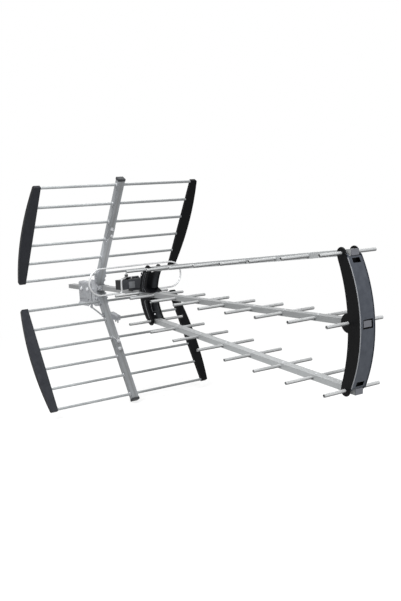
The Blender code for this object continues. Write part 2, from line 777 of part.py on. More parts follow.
def dipole_path():
    """Half of the bent rod, from the near terminal round to the middle of its top run."""
    x = dipole_x()
    radius = (DIPOLE_HEIGHT - DIPOLE_DIAMETER) / 2
    bottom = DIPOLE_BOTTOM_Z
    end_y = DIPOLE_SPAN / 2 - DIPOLE_DIAMETER / 2 - radius
    top_z = box_top() + BOSS_RISE + FIT + DIPOLE_DIAMETER / 2
    bend = DIPOLE_BEND
    path = [(x - TERMINAL_BACK, -TERMINAL_Y, top_z), (x - bend / 3, -DIPOLE_GAP_HALF + bend / 2, top_z)]
    rise = arc((-DIPOLE_GAP_HALF + bend, top_z - bend), bend, math.radians(110), math.radians(180), 3)
    turn = arc((-DIPOLE_GAP_HALF - bend, bottom + bend), bend, 0, -math.pi / 2, 4)
    end = arc((-end_y, bottom + radius), radius, -math.pi / 2, -math.pi * 1.5, 16)
    return path + [(x, y, z) for y, z in rise + turn + end]


def build_dipole():
    near = dipole_path()
    far = [(x, -y, z) for x, y, z in reversed(near)]
    loop = place("folded_dipole", wire("folded_dipole", near + far, DIPOLE_DIAMETER / 2), ALUMINIUM)
    x = dipole_x() - TERMINAL_BACK
    low = box_top() + BOSS_RISE + FIT
    for side, word in ((-1, "near"), (1, "far")):
        y = side * TERMINAL_Y
        eyelet = rod((x, y, low + DIPOLE_DIAMETER / 2), EYELET_RADIUS, DIPOLE_DIAMETER, "Z")
        stud_middle = (x, y, low + STUD_HEIGHT / 2)
        stud = rod(stud_middle, STUD_DIAMETER / 2, STUD_HEIGHT, "Z", SMALL_ROUND)
        knob = rod((x, y, low + KNOB_LIFT), KNOB_RADIUS, KNOB_HEIGHT, "Z", HEX)
        add(loop, solid(f"terminal_eyelet_{word}", eyelet))
        add(loop, solid(f"terminal_stud_{word}", stud))
        add(loop, solid(f"terminal_knob_{word}", knob), "MANIFOLD")


def hinge_axis():
    """X and Z of the feed box cover's hinge."""
    return (BOX_FRONT_X - BOX_DEPTH - FIT - COVER_THICKNESS / 2, box_top() + KNUCKLE_RADIUS)


def build_feed_box():
    low = box_low()
    rear = BOX_FRONT_X - BOX_DEPTH
    half = BOX_WIDTH / 2
    mesh = solid("feed_box", block((rear, -half, low), (BOX_FRONT_X, half, box_top())))
    box = place("feed_box", mesh, BLACK)
    soften(box, BOX_EDGE, 2)
    inside = block((rear - BEHIND, BOX_WALL - half, low + BOX_WALL),
                   (BOX_FRONT_X - BOX_WALL, half - BOX_WALL, box_top() - BOX_WALL))
    cut(box, solid("feed_box_inside", inside))
    cheek_low = BOOM_WIDTH / 2 + FIT
    cheek_high = cheek_low + CHEEK_THICKNESS
    for word, y_low, y_high in (("near", -cheek_high, -cheek_low), ("far", cheek_low, cheek_high)):
        cheek = block((rear + CHEEK_INSET, y_low, low - CHEEK_DROP),
                      (BOX_FRONT_X - CHEEK_INSET, y_high, low + BOX_WALL / 2))
        add(box, solid(f"feed_box_cheek_{word}", cheek))
        boss_y = math.copysign(TERMINAL_Y, y_low)
        boss_middle = (dipole_x() - TERMINAL_BACK, boss_y, box_top())
        boss = rod(boss_middle, TERMINAL_BOSS_RADIUS, BOSS_RISE * 2, "Z")
        add(box, solid(f"feed_box_boss_{word}", boss))
    saddle = block((rear + CHEEK_INSET + FIT, -cheek_high + FIT, low - BOX_LIFT),
                   (BOX_FRONT_X - CHEEK_INSET - FIT, cheek_high - FIT, low + BOX_WALL / 3))
    add(box, solid("feed_box_saddle", saddle))
    exit_hole = rod((board_x(), SOCKET_Y, low), SOCKET_RADIUS + FIT, BOX_WALL * 4, "Z")
    cut(box, solid("feed_box_socket_hole", exit_hole))
    axis_x, axis_z = hinge_axis()
    inner_x = rear + BOX_WALL / 2
    deep_z = box_top() - BOX_WALL / 2
    lug_points = [(inner_x, deep_z), (rear + BOX_WALL * 2, deep_z), (rear + BOX_WALL * 2, axis_z),
                  (axis_x, axis_z), (axis_x, box_top()), (inner_x, box_top())]
    for side, word in ((-1, "near"), (1, "far")):
        y = side * (BOX_KNUCKLE_Y + BOX_KNUCKLE_LENGTH / 2)
        knuckle = rod((axis_x, y, axis_z), KNUCKLE_RADIUS, BOX_KNUCKLE_LENGTH)
        lug = outline(f"feed_box_lug_{word}", lug_points, BOX_KNUCKLE_LENGTH - 2 * FIT, at=y)
        pin_length = PIN_REACH + BOX_KNUCKLE_LENGTH / 2
        pin_middle = (axis_x, y - side * pin_length / 2, axis_z)
        pin = rod(pin_middle, PIN_RADIUS, pin_length, sides=SMALL_ROUND)
        add(box, lug)
        add(box, solid(f"feed_box_knuckle_{word}", knuckle))
        add(box, solid(f"feed_box_pin_{word}", pin))


def build_feed_cover():
    """The cover hangs from its hinge line, which is its own origin."""
    axis_x, axis_z = hinge_axis()
    half = BOX_WIDTH / 2 - FIT
    low = box_low() - axis_z
    top = box_top() - axis_z - FIT
    thick = COVER_THICKNESS / 2
    plate = block((-thick, -half, low), (thick, half, top))
    frame = {"location": (axis_x, 0, axis_z)}
    cover = place("feed_box_cover", solid("feed_box_cover", plate), BLACK, **frame)
    rim_half = BOX_WIDTH / 2 - BOX_WALL - FIT * 2
    rim = block((-thick / 2, -rim_half, low + BOX_WALL + FIT * 2),
                (thick + FIT + COVER_RIM, rim_half, top - BOX_WALL - FIT))
    add(cover, solid("feed_box_cover_plug", rim), **frame)
    for side, word in ((-1, "near"), (1, "far")):
        y = side * (BOX_KNUCKLE_Y - FIT - COVER_KNUCKLE_LENGTH / 2)
        neck_half = COVER_KNUCKLE_LENGTH / 2 - FIT
        neck = block((-COVER_NECK / 2, y - neck_half, top - BOX_WALL),
                     (COVER_NECK / 2, y + neck_half, 0))
        knuckle = rod((0, y, 0), KNUCKLE_RADIUS, COVER_KNUCKLE_LENGTH)
        bore_y = side * BOX_KNUCKLE_Y
        bore = rod((0, bore_y, 0), PIN_RADIUS + FIT, 2 * (PIN_REACH + FIT), sides=SMALL_ROUND)
        add(cover, solid(f"feed_box_cover_neck_{word}", neck), **frame)
        add(cover, solid(f"feed_box_cover_knuckle_{word}", knuckle), **frame)
        cut(cover, solid(f"feed_box_cover_bore_{word}", bore), **frame)


def board_x():
    return BOX_FRONT_X - BOX_DEPTH / 2


def build_balun_board():
    floor = box_low() + BOX_WALL
    half = BOX_WIDTH / 2 - BOX_WALL - FIT
    low = floor + FIT
    high = box_top() - BOX_WALL - BOARD_MARGIN
    x = board_x()
    sheet = block((x, -half, low), (x + BOARD_THICKNESS, half, high))
    board = place("balun_board", solid("balun_board", sheet), BOARD_GREEN)
    socket_top = floor + SOCKET_NUT_RADIUS
    socket_low = box_low() - SOCKET_LENGTH
    barrel_middle = (x, SOCKET_Y, (socket_top + socket_low) / 2)
    barrel = rod(barrel_middle, SOCKET_RADIUS, socket_top - socket_low, "Z")
    nut_middle = (x, SOCKET_Y, box_low() - FIT - SOCKET_NUT_HEIGHT / 2)
    nut = rod(nut_middle, SOCKET_NUT_RADIUS, SOCKET_NUT_HEIGHT, "Z", HEX)
    face = x + BOARD_THICKNESS
    coil = block((face - BOARD_THICKNESS / 2, COIL_Y - COIL_SIZE / 2, low + COIL_DEPTH),
                 (face + COIL_DEPTH, COIL_Y + COIL_SIZE / 2, high - COIL_DEPTH))
    add(board, solid("balun_board_barrel", barrel))
    add(board, solid("balun_board_coil", coil))
    add(board, solid("balun_board_nut", nut))
    bore = rod((x, SOCKET_Y, socket_low), SOCKET_BORE, SOCKET_LENGTH, "Z", SMALL_ROUND)
    cut(board, solid("balun_board_bore", bore))


def hub_outline():
    leg_rear = wing_point(HUB_LEG, -HUB_LEG_HALF, 1)
    leg_front = wing_point(HUB_LEG, HUB_LEG_HALF, 1)
    crotch = wing_point(arm_start() + HUB_CROTCH, HUB_LEG_HALF, 1)
    shoulder = wing_point(-HUB_LEG_HALF, -HUB_LEG_HALF, 1)
    nose = HUB_NOSE_HALF
    upper = [
        (HUB_REAR_X, HUB_SPINE_TOP),
        (shoulder[0] - HUB_LEG_HALF, HUB_SPINE_TOP),
        shoulder,
        leg_rear,
        leg_front,
        crotch,
        (crotch[0] + nose, nose),
        (HUB_FRONT_X, nose),
    ]
    heel = (HUB_HEEL_X, -HUB_SPINE_BOTTOM - HUB_HEEL_DROP)
    lower = [
        (HUB_FRONT_X, -nose),
        (crotch[0] + nose, -nose),
        (crotch[0], -crotch[1]),
        (leg_front[0], -leg_front[1]),
        (leg_rear[0], -leg_rear[1]),
        heel,
        (HUB_REAR_X, -HUB_SPINE_BOTTOM),
    ]
    return list(reversed(upper + lower))


def hub_bolt_places():
    arm = [wing_point(s, 0, side) for s in ARM_BOLTS for side in (1, -1)]
    return arm + [(x, 0) for x in BOOM_BOLTS] + [(TAIL_BOLT, -TAIL_DROP)]


def build_hub_plates():
    inner = BOOM_WIDTH / 2 + FIT
    middle = inner + HUB_THICKNESS / 2
    outer = inner + HUB_THICKNESS
    spots = hub_bolt_places()
    through = HUB_THICKNESS * 4
    rod_spots = [wing_point(0, 0, wing) for wing in (1, -1)]
    for side, word in ((-1, "near"), (1, "far")):
        name = "hub_plate_" + word
        y = side * middle
        plate = place(name, outline(name, hub_outline(), HUB_THICKNESS, at=y), STEEL)
        gap = rod((HUB_WINDOW[0], y, HUB_WINDOW[1]), HUB_WINDOW_RADIUS, through)
        cut(plate, solid(name + "_window", gap))
        rod_hole = WING_ROD_DIAMETER / 2 + FIT * 2
        rods = [rod((x, y, z), rod_hole, through) for x, z in rod_spots]
        cut(plate, solid(name + "_rod_holes", *rods))
        notch = rod((HUB_NOTCH[0], y, HUB_NOTCH[1]), HUB_NOTCH_RADIUS, through)
        cut(plate, solid(name + "_window_top", notch))
        head_y = side * (outer + BOLT_HEAD_HEIGHT / 2 - FIT)
        heads = [rod((x, head_y, z), BOLT_HEAD_RADIUS, BOLT_HEAD_HEIGHT + FIT, sides=HEX)
                 for x, z in spots]
        if side < 0:
            tail = outer + BOLT_HEAD_HEIGHT + BOLT_END
            length = tail + middle
            shanks = [rod((x, tail - length / 2, z), BOLT_DIAMETER / 2, length, sides=SMALL_ROUND)
                      for x, z in spots]
            add(plate, solid(name + "_bolts", *shanks))
            add(plate, solid(name + "_bolt_heads", *heads))
        else:
            radius = BOLT_DIAMETER / 2 + FIT
            holes = [rod((x, outer, z), radius, BOLT_HEAD_HEIGHT * 6, sides=SMALL_ROUND)
                     for x, z in spots]
            add(plate, solid(name + "_nuts", *heads))
            cut(plate, solid(name + "_bolt_holes", *holes))


def clamp_profile():
    """Middle line of the folded clamp sheet, in Y and Z, from lip to lip."""
    wall = BOOM_WIDTH / 2 + FIT + CLAMP_SHEET / 2
    bend = CLAMP_BEND
    top = CLAMP_TOP - CLAMP_SHEET / 2
    corner = arc((wall - bend, top - bend), bend, 0, math.pi / 2, 3)
    near = [(wall + LIP_OUT, -CLAMP_DROP - LIP_DOWN), (wall, -CLAMP_DROP)] + corner
    return near + [(-y, z) for y, z in reversed(near)]


def cut_slot(clamp, name, y_low, y_high):
    """The U-bolt's long slot, cut from y_low to y_high."""
    half = UBOLT_DIAMETER / 2 + FIT
    rear_x = SLOT_REAR_X + half
    front_x = SLOT_FRONT_X - half
    y = (y_low + y_high) / 2
    ends = [rod((x, y, UBOLT_Z), half, y_high - y_low) for x in (rear_x, front_x)]
    middle = block((rear_x, y_low, UBOLT_Z - SLOT_FLAT), (front_x, y_high, UBOLT_Z + SLOT_FLAT))
    cut(clamp, solid(f"mast_clamp_{name}", middle))
    cut(clamp, solid(f"mast_clamp_{name}_ends", *ends))


def build_mast_clamp():
    shape = bmesh.new()
    verts = [shape.verts.new((CLAMP_REAR_X, y, z)) for y, z in clamp_profile()]
    edges = [shape.edges.new(pair) for pair in zip(verts, verts[1:])]
    pulled = bmesh.ops.extrude_edge_only(shape, edges=edges)["geom"]
    moved = [v for v in pulled if isinstance(v, bmesh.types.BMVert)]
    bmesh.ops.translate(shape, verts=moved, vec=(CLAMP_FRONT_X - CLAMP_REAR_X, 0, 0))
    bmesh.ops.recalc_face_normals(shape, faces=shape.faces)
    mesh = bpy.data.meshes.new("mast_clamp")
    shape.to_mesh(mesh)
    shape.free()
    clamp = place("mast_clamp", mesh, STEEL)
    sheet = clamp.modifiers.new("sheet", "SOLIDIFY")
    sheet.thickness = CLAMP_SHEET
    sheet.offset = 0
    sheet.use_even_offset = True
    outer = BOOM_WIDTH / 2 + FIT + CLAMP_SHEET
    cut_slot(clamp, "slot", 0, outer * 2)
    cut_slot(clamp, "groove", -outer * 2, GROOVE_DEPTH - outer)
    hole = rod((ubolt_leg_x(), 0, UBOLT_Z), UBOLT_DIAMETER / 2 + FIT, outer * 4)
    cut(clamp, solid("mast_clamp_hole", hole))
    length = 2 * outer - CLAMP_SHEET
    shanks = [rod((x, 0, -TAIL_DROP), BOLT_DIAMETER / 2, length, sides=SMALL_ROUND)
              for x in CLAMP_BOLTS]
    head_y = outer + BOLT_HEAD_HEIGHT / 2 - FIT
    head_height = BOLT_HEAD_HEIGHT + FIT
    heads = [rod((x, side * head_y, -TAIL_DROP), BOLT_HEAD_RADIUS, head_height, sides=HEX)
             for x in CLAMP_BOLTS for side in (-1, 1)]
    lip_gap = block((TAB_REAR_X, -outer - LIP_OUT * 2, -CLAMP_DROP - LIP_DOWN * 2),
                    (CLAMP_FRONT_X + BEHIND, 0, LIP_DOWN / 4 - CLAMP_DROP))
    cut(clamp, solid("mast_clamp_lip_gap", lip_gap))
    tab_inner = CLAMP_SHEET - outer - FIT / 2
    tab = block((TAB_REAR_X + FIT, FIT / 2 - outer, TAB_BOTTOM), (TAB_FRONT_X, tab_inner, UBOLT_Z))
    add(clamp, solid("mast_clamp_tab", tab))
    add(clamp, solid("mast_clamp_bolts", *shanks))
    add(clamp, solid("mast_clamp_bolt_heads", *heads))


def ubolt_leg_x():
    return MAST_DIAMETER / 2 + FIT + UBOLT_DIAMETER / 2


def jaw_face_y():
    return BOOM_WIDTH / 2 + FIT + CLAMP_SHEET + FIT


def mast_y():
    """Distance of the mast's axis to the far side of the boom's centre line."""
    return jaw_face_y() + JAW_BASE + MAST_DIAMETER / 2 / math.sin(math.radians(60)) + FIT


def build_ubolt():
    leg = ubolt_leg_x()
    inner = BOOM_WIDTH / 2 - NUT_HEIGHT
    start_y = inner - LEG_TAIL
    bend = arc((0, mast_y()), leg, 0, math.pi, 12)
    path = [(leg, start_y)] + bend + [(-leg, start_y)]
    bent = wire("mast_u_bolt", [(x, y, UBOLT_Z) for x, y in path], UBOLT_DIAMETER / 2)
    ubolt = place("mast_u_bolt", bent, STEEL)
    for side, word in ((-1, "rear"), (1, "front")):
        nut = rod((side * leg, inner + NUT_HEIGHT / 2, UBOLT_Z), NUT_RADIUS, NUT_HEIGHT, sides=HEX)
        add(ubolt, solid(f"mast_u_bolt_nut_{word}", nut))


def jaw_outline():
    """The jaw from above: flat back, a wide V for the mast, with steps as teeth."""
    back = jaw_face_y()
    half = ubolt_leg_x() + UBOLT_DIAMETER
    root = back + JAW_BASE
    crest = root + JAW_RISE
    slope = math.tan(math.radians(60))
    reach = JAW_RISE * slope
    points = [(-half, back), (half, back), (half, crest - JAW_TOOTH)]
    points.append((reach, crest))
    for i in range(JAW_TEETH):
        x = reach * (1 - (i + 0.5) / JAW_TEETH)
        points.append((x, root + x / slope - JAW_TOOTH / 2))
        x = reach * (1 - (i + 1) / JAW_TEETH)
        points.append((x, root + x / slope))
    left = [(-x, y) for x, y in reversed(points[3:-1])]
    return points + left + [(-half, crest - JAW_TOOTH)]


def build_jaw():
    mesh = outline("mast_jaw", jaw_outline(), JAW_HEIGHT, plane="XY")
    mesh.transform(Matrix.Translation((0, 0, UBOLT_Z)))
    jaw = place("mast_jaw", mesh, STEEL)
    legs = [rod((side * ubolt_leg_x(), mast_y(), UBOLT_Z), UBOLT_DIAMETER / 2 + FIT, mast_y() * 2)
            for side in (-1, 1)]
    cut(jaw, solid("mast_jaw_holes", *legs))


def build_brace():
    arm_x, arm_z = wing_point(BRACE_ARM_S, 0, -1)
    inner = BOOM_WIDTH / 2 + FIT + HUB_THICKNESS + FIT
    middle = inner + BRACE_THICKNESS / 2
    run = Vector((arm_x - BRACE_REAR_X, arm_z - BRACE_REAR_Z))
    heading = math.atan2(run.y, run.x)
    quarter = math.pi / 2
    front = arc((arm_x, arm_z), BRACE_HALF_WIDTH, heading - quarter, heading + quarter, 6)
    rear = arc((BRACE_REAR_X, BRACE_REAR_Z), BRACE_HALF_WIDTH, heading + quarter, heading + 3 * quarter, 6)
    brace = place("brace", outline("brace", front + rear, BRACE_THICKNESS, at=-middle), STEEL)
    arm_face = ARM_WIDTH / 2 + FIT
    step = inner - arm_face + BRACE_THICKNESS / 2
    washer = rod((arm_x, -arm_face - step / 2, arm_z), BRACE_SPACER_RADIUS, step)
    head_y = FIT - inner - BRACE_THICKNESS - BRACE_HEAD_HEIGHT / 2
    head = rod((arm_x, head_y, arm_z), BRACE_HEAD_RADIUS, BRACE_HEAD_HEIGHT + FIT)
    rivet = rod((BRACE_REAR_X, head_y, BRACE_REAR_Z), BRACE_RIVET_RADIUS, BRACE_HEAD_HEIGHT + FIT,
                sides=SMALL_ROUND)
    add(brace, solid("brace_washer", washer))
    add(brace, solid("brace_bolt_head", head))
    add(brace, solid("brace_rivet", rivet))
    add_anchor(brace)


def add_anchor(brace):
    """Folded bracket on the far face of the lower arm, on the brace's own bolt."""
    arm_x, arm_z = wing_point(BRACE_ARM_S, 0, -1)
    turned = {"location": (arm_x, 0, arm_z), "rotation": (0, ANCHOR_TURN, 0)}
    face = ARM_WIDTH / 2 + FIT
    rear = -ANCHOR_BEHIND
    front = rear + ANCHOR_LENGTH
    low = ANCHOR_RISE - ANCHOR_HEIGHT
    plate = block((rear, face, low), (front, face + ANCHOR_DEPTH, ANCHOR_RISE))
    add(brace, solid("brace_anchor", plate), **turned)
    inside = block((rear - BEHIND, face + ANCHOR_SHEET, low - BEHIND),
                   (front - ANCHOR_SHEET, face + ANCHOR_DEPTH + BEHIND, ANCHOR_RISE - ANCHOR_SHEET))
    cut(brace, solid("brace_anchor_inside", inside), **turned)
    end = face + ANCHOR_SHEET + BOLT_HEAD_HEIGHT + BOLT_END
    start_y = -(BOOM_WIDTH + HUB_THICKNESS) / 2
    radius = BOLT_DIAMETER / 2
    shank = rod((arm_x, (end + start_y) / 2, arm_z), radius, end - start_y, sides=SMALL_ROUND)
    nut_middle = (arm_x, face + ANCHOR_SHEET + BOLT_HEAD_HEIGHT / 2 - FIT, arm_z)
    nut = rod(nut_middle, BOLT_HEAD_RADIUS, BOLT_HEAD_HEIGHT + FIT, sides=HEX)
    rod_x, rod_z = wing_point(WING_PITCH, 0, -1)
    rod_hole = rod((rod_x, face, rod_z), WING_ROD_DIAMETER / 2 + FIT * 2, BOLT_HEAD_HEIGHT * 6)
    cut(brace, solid("brace_anchor_rod_hole", rod_hole))
    add(brace, solid("brace_bolt", shank))
    add(brace, solid("brace_anchor_nut", nut))
    tail_z = ANCHOR_RISE + ANCHOR_BOLT_END - ANCHOR_BOLT_LENGTH / 2
    for word, along in ANCHOR_BOLTS:
        tail_middle = (rear + along, face + ANCHOR_BOLT_OUT, tail_z)
        tail = rod(tail_middle, ANCHOR_BOLT_DIAMETER / 2, ANCHOR_BOLT_LENGTH, "Z", SMALL_ROUND)
        add(brace, solid(f"brace_anchor_tail_{word}", tail), **turned)


def move_to_mast():
    """Everything shifts so that the mast's axis becomes the Z axis."""
    for name in ("tv_antenna", "cutters"):
        for thing in bpy.data.collections[name].objects:
            if thing.parent is None:
                thing.location += Vector((0, -mast_y(), -UBOLT_Z))


def build():
    start()
    build_middle_boom()
    build_tail_tube()
    build_outer_boom("top", 1)
    build_outer_boom("bottom", -1)
    build_wing("upper", 1)
    build_wing("lower", -1)
    build_front_spacer()
    build_rear_spacer("rear_spacer_upper", 1)
    build_rear_spacer("rear_spacer_lower", -1)
    build_dipole()
    build_feed_box()
    build_feed_cover()
    build_balun_board()
    build_hub_plates()
    build_mast_clamp()
    build_ubolt()
    build_jaw()
    build_brace()
    move_to_mast()


build()
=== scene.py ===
import math

import bpy
from mathutils import Euler, Matrix, Vector


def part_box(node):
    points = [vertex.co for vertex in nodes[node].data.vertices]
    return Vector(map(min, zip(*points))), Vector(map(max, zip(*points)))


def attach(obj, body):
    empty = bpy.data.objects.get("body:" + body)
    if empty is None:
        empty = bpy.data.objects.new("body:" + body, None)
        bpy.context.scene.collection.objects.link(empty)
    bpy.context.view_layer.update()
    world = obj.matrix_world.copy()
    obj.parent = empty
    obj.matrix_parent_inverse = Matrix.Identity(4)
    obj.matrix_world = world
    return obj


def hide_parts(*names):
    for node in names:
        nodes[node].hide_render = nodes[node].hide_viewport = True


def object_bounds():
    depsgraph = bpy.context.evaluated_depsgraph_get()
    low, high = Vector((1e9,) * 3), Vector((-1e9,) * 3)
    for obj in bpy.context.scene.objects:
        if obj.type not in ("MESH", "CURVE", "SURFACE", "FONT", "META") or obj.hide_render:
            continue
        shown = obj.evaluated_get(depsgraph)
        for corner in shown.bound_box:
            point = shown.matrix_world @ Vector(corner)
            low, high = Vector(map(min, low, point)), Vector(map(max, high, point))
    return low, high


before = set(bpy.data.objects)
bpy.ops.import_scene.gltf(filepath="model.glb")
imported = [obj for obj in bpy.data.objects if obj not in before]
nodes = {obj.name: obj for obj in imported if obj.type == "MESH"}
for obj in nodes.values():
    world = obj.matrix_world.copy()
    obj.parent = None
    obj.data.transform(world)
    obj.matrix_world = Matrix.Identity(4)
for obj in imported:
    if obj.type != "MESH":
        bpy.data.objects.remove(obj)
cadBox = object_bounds()
scene = bpy.context.scene
print("frame loaded,", len(nodes), "nodes")

directorCounts = {"middle": 9, "top": 8, "bottom": 8}  # on each boom
wings = {"upper": 1, "lower": -1}  # which way each one rises


# Places read from the frame

lookup = {"rayStart": 3.0, "faceReach": 0.0006, "pathSteps": 24}


def centreOf(name):
    low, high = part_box(name)
    return (low + high) / 2


def lineThrough(rodName, count):  # the first and last rod of a row, and the way from one to the other
    first, last = centreOf(f"{rodName}_1"), centreOf(f"{rodName}_{count}")
    return first, last, (last - first).normalized()


def surfaceAt(name, outward, place):  # a node's outermost skin on one side, or None where it has none
    out = Vector(outward)
    found, where = nodes[name].ray_cast(Vector(place) + out * lookup["rayStart"], -out)[:2]
    return where if found else None


def spanAt(name, faceY, z):  # where a node's side face starts and ends along X at one height
    node = nodes[name]
    points = [node.matrix_world @ v.co for v in node.data.vertices]
    hits = []
    for edge in node.data.edges:
        a, b = (points[i] for i in edge.vertices)
        onFace = max(abs(a.y - faceY), abs(b.y - faceY)) <= lookup["faceReach"]
        if onFace and (a.z - z) * (b.z - z) <= 0 and a.z != b.z:
            hits.append(a.x + (b.x - a.x) * (z - a.z) / (b.z - a.z))
    return (min(hits), max(hits)) if hits else None


def heightsOver(span, steps):
    return [span[0] + (span[1] - span[0]) * i / steps for i in range(steps + 1)]


def sidePath(name, share, heights, out=0.0, steps=lookup["pathSteps"]):  # up the near side face
    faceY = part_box(name)[0].y
    path = []
    for z in heightsOver(heights, steps):
        span = spanAt(name, faceY, z)
        if span:
            path.append(Vector((span[0] + (span[1] - span[0]) * share + out, faceY, z)))
    return path


def circleThrough(points):  # centre and radius of the circle through three points (x, z)
    (ax, az), (bx, bz), (cx, cz) = points
    d = 2 * (ax * (bz - cz) + bx * (cz - az) + cx * (az - bz))
    a2, b2, c2 = ax * ax + az * az, bx * bx + bz * bz, cx * cx + cz * cz
    ux = (a2 * (bz - cz) + b2 * (cz - az) + c2 * (az - bz)) / d
    uz = (a2 * (cx - bx) + b2 * (ax - cx) + c2 * (bx - ax)) / d
    return (ux, uz), math.hypot(ax - ux, az - uz)


# Source meshes and finished pieces

def pointMesh(places, turns=None, sizes=None):  # one vertex for each repeated thing
    mesh = bpy.data.meshes.new("points")
    mesh.from_pydata([tuple(p) for p in places], [], [])
    mesh.attributes.new("turn", "FLOAT_VECTOR", "POINT")
    mesh.attributes.new("size", "FLOAT", "POINT")
    for i in range(len(places)):
        mesh.attributes["turn"].data[i].vector = turns[i] if turns else (0.0, 0.0, 0.0)
        mesh.attributes["size"].data[i].value = sizes[i] if sizes else 1.0
    return mesh


def pathMesh(paths):  # open chains of edges that a tree turns into curves
    points, edges = [], []
    for path in paths:
        edges += [(len(points) + i, len(points) + i + 1) for i in range(len(path) - 1)]
        points += [tuple(p) for p in path]
    mesh = bpy.data.meshes.new("paths")
    mesh.from_pydata(points, edges, [])
    return mesh


def plateMesh(outline, outward, thickness, bevel):  # a closed plate with an eased rim
    out = Vector(outward).normalized()
    corners = [Vector(p) for p in outline]
    count = len(corners)
    middle = sum(corners, Vector()) / count
    arms = [p - middle for p in corners]
    turning = sum((arms[i].cross(arms[(i + 1) % count]) for i in range(count)), Vector())
    if turning.dot(out) < 0:
        corners.reverse()
    inner = [middle + (p - middle) * (1 - bevel / (p - middle).length) for p in corners]
    rings = [corners, [p + out * (thickness - bevel) for p in corners], [p + out * thickness for p in inner]]
    faces = [list(reversed(range(count))), [2 * count + i for i in range(count)]]
    for start in (0, count):
        for i in range(count):
            j = (i + 1) % count
            faces.append([start + i, start + j, start + count + j, start + count + i])
    mesh = bpy.data.meshes.new("plate")
    mesh.from_pydata([tuple(p) for ring in rings for p in ring], [], faces)
    return mesh


def finishPiece(name, mesh, material):
    mesh.name = name
    mesh.materials.clear()
    mesh.materials.append(material)
    piece = bpy.data.objects.new(name, mesh)
    scene.collection.objects.link(piece)
    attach(piece, "antenna")
    return piece


def growPiece(name, source, tree, settings, material):  # runs a tree and keeps plain mesh
    holder = bpy.data.objects.new(name + "Source", source)
    scene.collection.objects.link(holder)
    build = holder.modifiers.new("build", "NODES")
    build.node_group = tree
    values = dict(settings, Material=material)
    for item in tree.interface.items_tree:
        if item.in_out == "INPUT" and item.name in values:
            build[item.identifier] = values[item.name]
    graph = bpy.context.evaluated_depsgraph_get()
    mesh = bpy.data.meshes.new_from_object(holder.evaluated_get(graph))
    bpy.data.objects.remove(holder)
    return finishPiece(name, mesh, material)


# Nodes of every kind of tree

mixSockets = {"RGBA": (6, 7, 2), "FLOAT": (2, 3, 0)}  # where a mix node has A, B and its result


def fill(tree, socket, value):  # links a socket to another one, or sets its plain value
    if isinstance(value, bpy.types.NodeSocket):
        tree.links.new(value, socket)
    elif socket.type == "RGBA":
        socket.default_value = (*value, 1)
    elif value is not None:
        socket.default_value = value


def addNode(tree, kind, inputs=None, **settings):
    node = tree.nodes.new(kind)
    for key, value in settings.items():
        setattr(node, key, value)
    for key, value in (inputs or {}).items():
        fill(tree, node.inputs[key], value)
    return node


def calc(tree, operation, *values):  # a math node on sockets or numbers
    return addNode(tree, "ShaderNodeMath", dict(enumerate(values)), operation=operation).outputs[0]


def vectorCalc(tree, operation, *values):
    node = addNode(tree, "ShaderNodeVectorMath", dict(enumerate(values)), operation=operation)
    return node.outputs["Value" if operation in ("DOT_PRODUCT", "DISTANCE") else "Vector"]


def mixInto(tree, kind, factor, low, high, socket=None, blend="MIX"):  # low at 0, high at 1
    lowAt, highAt, resultAt = mixSockets[kind]
    mix = addNode(tree, "ShaderNodeMix", {0: factor}, data_type=kind, blend_type=blend)
    fill(tree, mix.inputs[lowAt], low)
    fill(tree, mix.inputs[highAt], high)
    if socket is not None:
        tree.links.new(mix.outputs[resultAt], socket)
    return mix.outputs[resultAt]


# Geometry trees

def newTree(name, defaults):  # gives the tree and the outputs of its named inputs
    tree = bpy.data.node_groups.new(name, "GeometryNodeTree")
    tree.interface.new_socket("Geometry", in_out="INPUT", socket_type="NodeSocketGeometry")
    for label, value in defaults.items():
        kind = "NodeSocketInt" if isinstance(value, int) else "NodeSocketFloat"
        tree.interface.new_socket(label, in_out="INPUT", socket_type=kind).default_value = value
    tree.interface.new_socket("Material", in_out="INPUT", socket_type="NodeSocketMaterial")
    tree.interface.new_socket("Geometry", in_out="OUTPUT", socket_type="NodeSocketGeometry")
    return tree, addNode(tree, "NodeGroupInput").outputs


def endTree(tree, given, geometry, sharpAngle=0.6):  # realized, its sharp edges kept, with its material
    real = addNode(tree, "GeometryNodeRealizeInstances", {"Geometry": geometry})
    angle = addNode(tree, "GeometryNodeInputMeshEdgeAngle")
    soft = addNode(tree, "FunctionNodeCompare", {
        "A": angle.outputs["Unsigned Angle"], "B": sharpAngle}, data_type="FLOAT", operation="LESS_THAN")
    smooth = addNode(tree, "GeometryNodeSetShadeSmooth", {
        "Geometry": real.outputs["Geometry"], "Shade Smooth": soft.outputs["Result"]}, domain="EDGE")
    painted = addNode(tree, "GeometryNodeSetMaterial", {
        "Geometry": smooth.outputs["Geometry"], "Material": given["Material"]})
    addNode(tree, "NodeGroupOutput", {"Geometry": painted.outputs["Geometry"]})
    return tree


def roundedSection(tree, width, height, radius, count):  # a rectangle with chamfered or rounded corners
    section = addNode(tree, "GeometryNodeCurvePrimitiveQuadrilateral", {"Width": width, "Height": height})
    eased = addNode(tree, "GeometryNodeFilletCurve",
                    {"Curve": section.outputs["Curve"], "Radius": radius, "Count": count}, mode="POLY")
    return eased.outputs["Curve"]


def sweep(tree, curve, profile, caps=False):
    return addNode(tree, "GeometryNodeCurveToMesh", {
        "Curve": curve, "Profile Curve": profile, "Fill Caps": caps}).outputs["Mesh"]


def turned(tree, geometry, angle):  # about the X axis
    return addNode(tree, "GeometryNodeTransform",
                   {"Geometry": geometry, "Rotation": (angle, 0, 0)}).outputs["Geometry"]


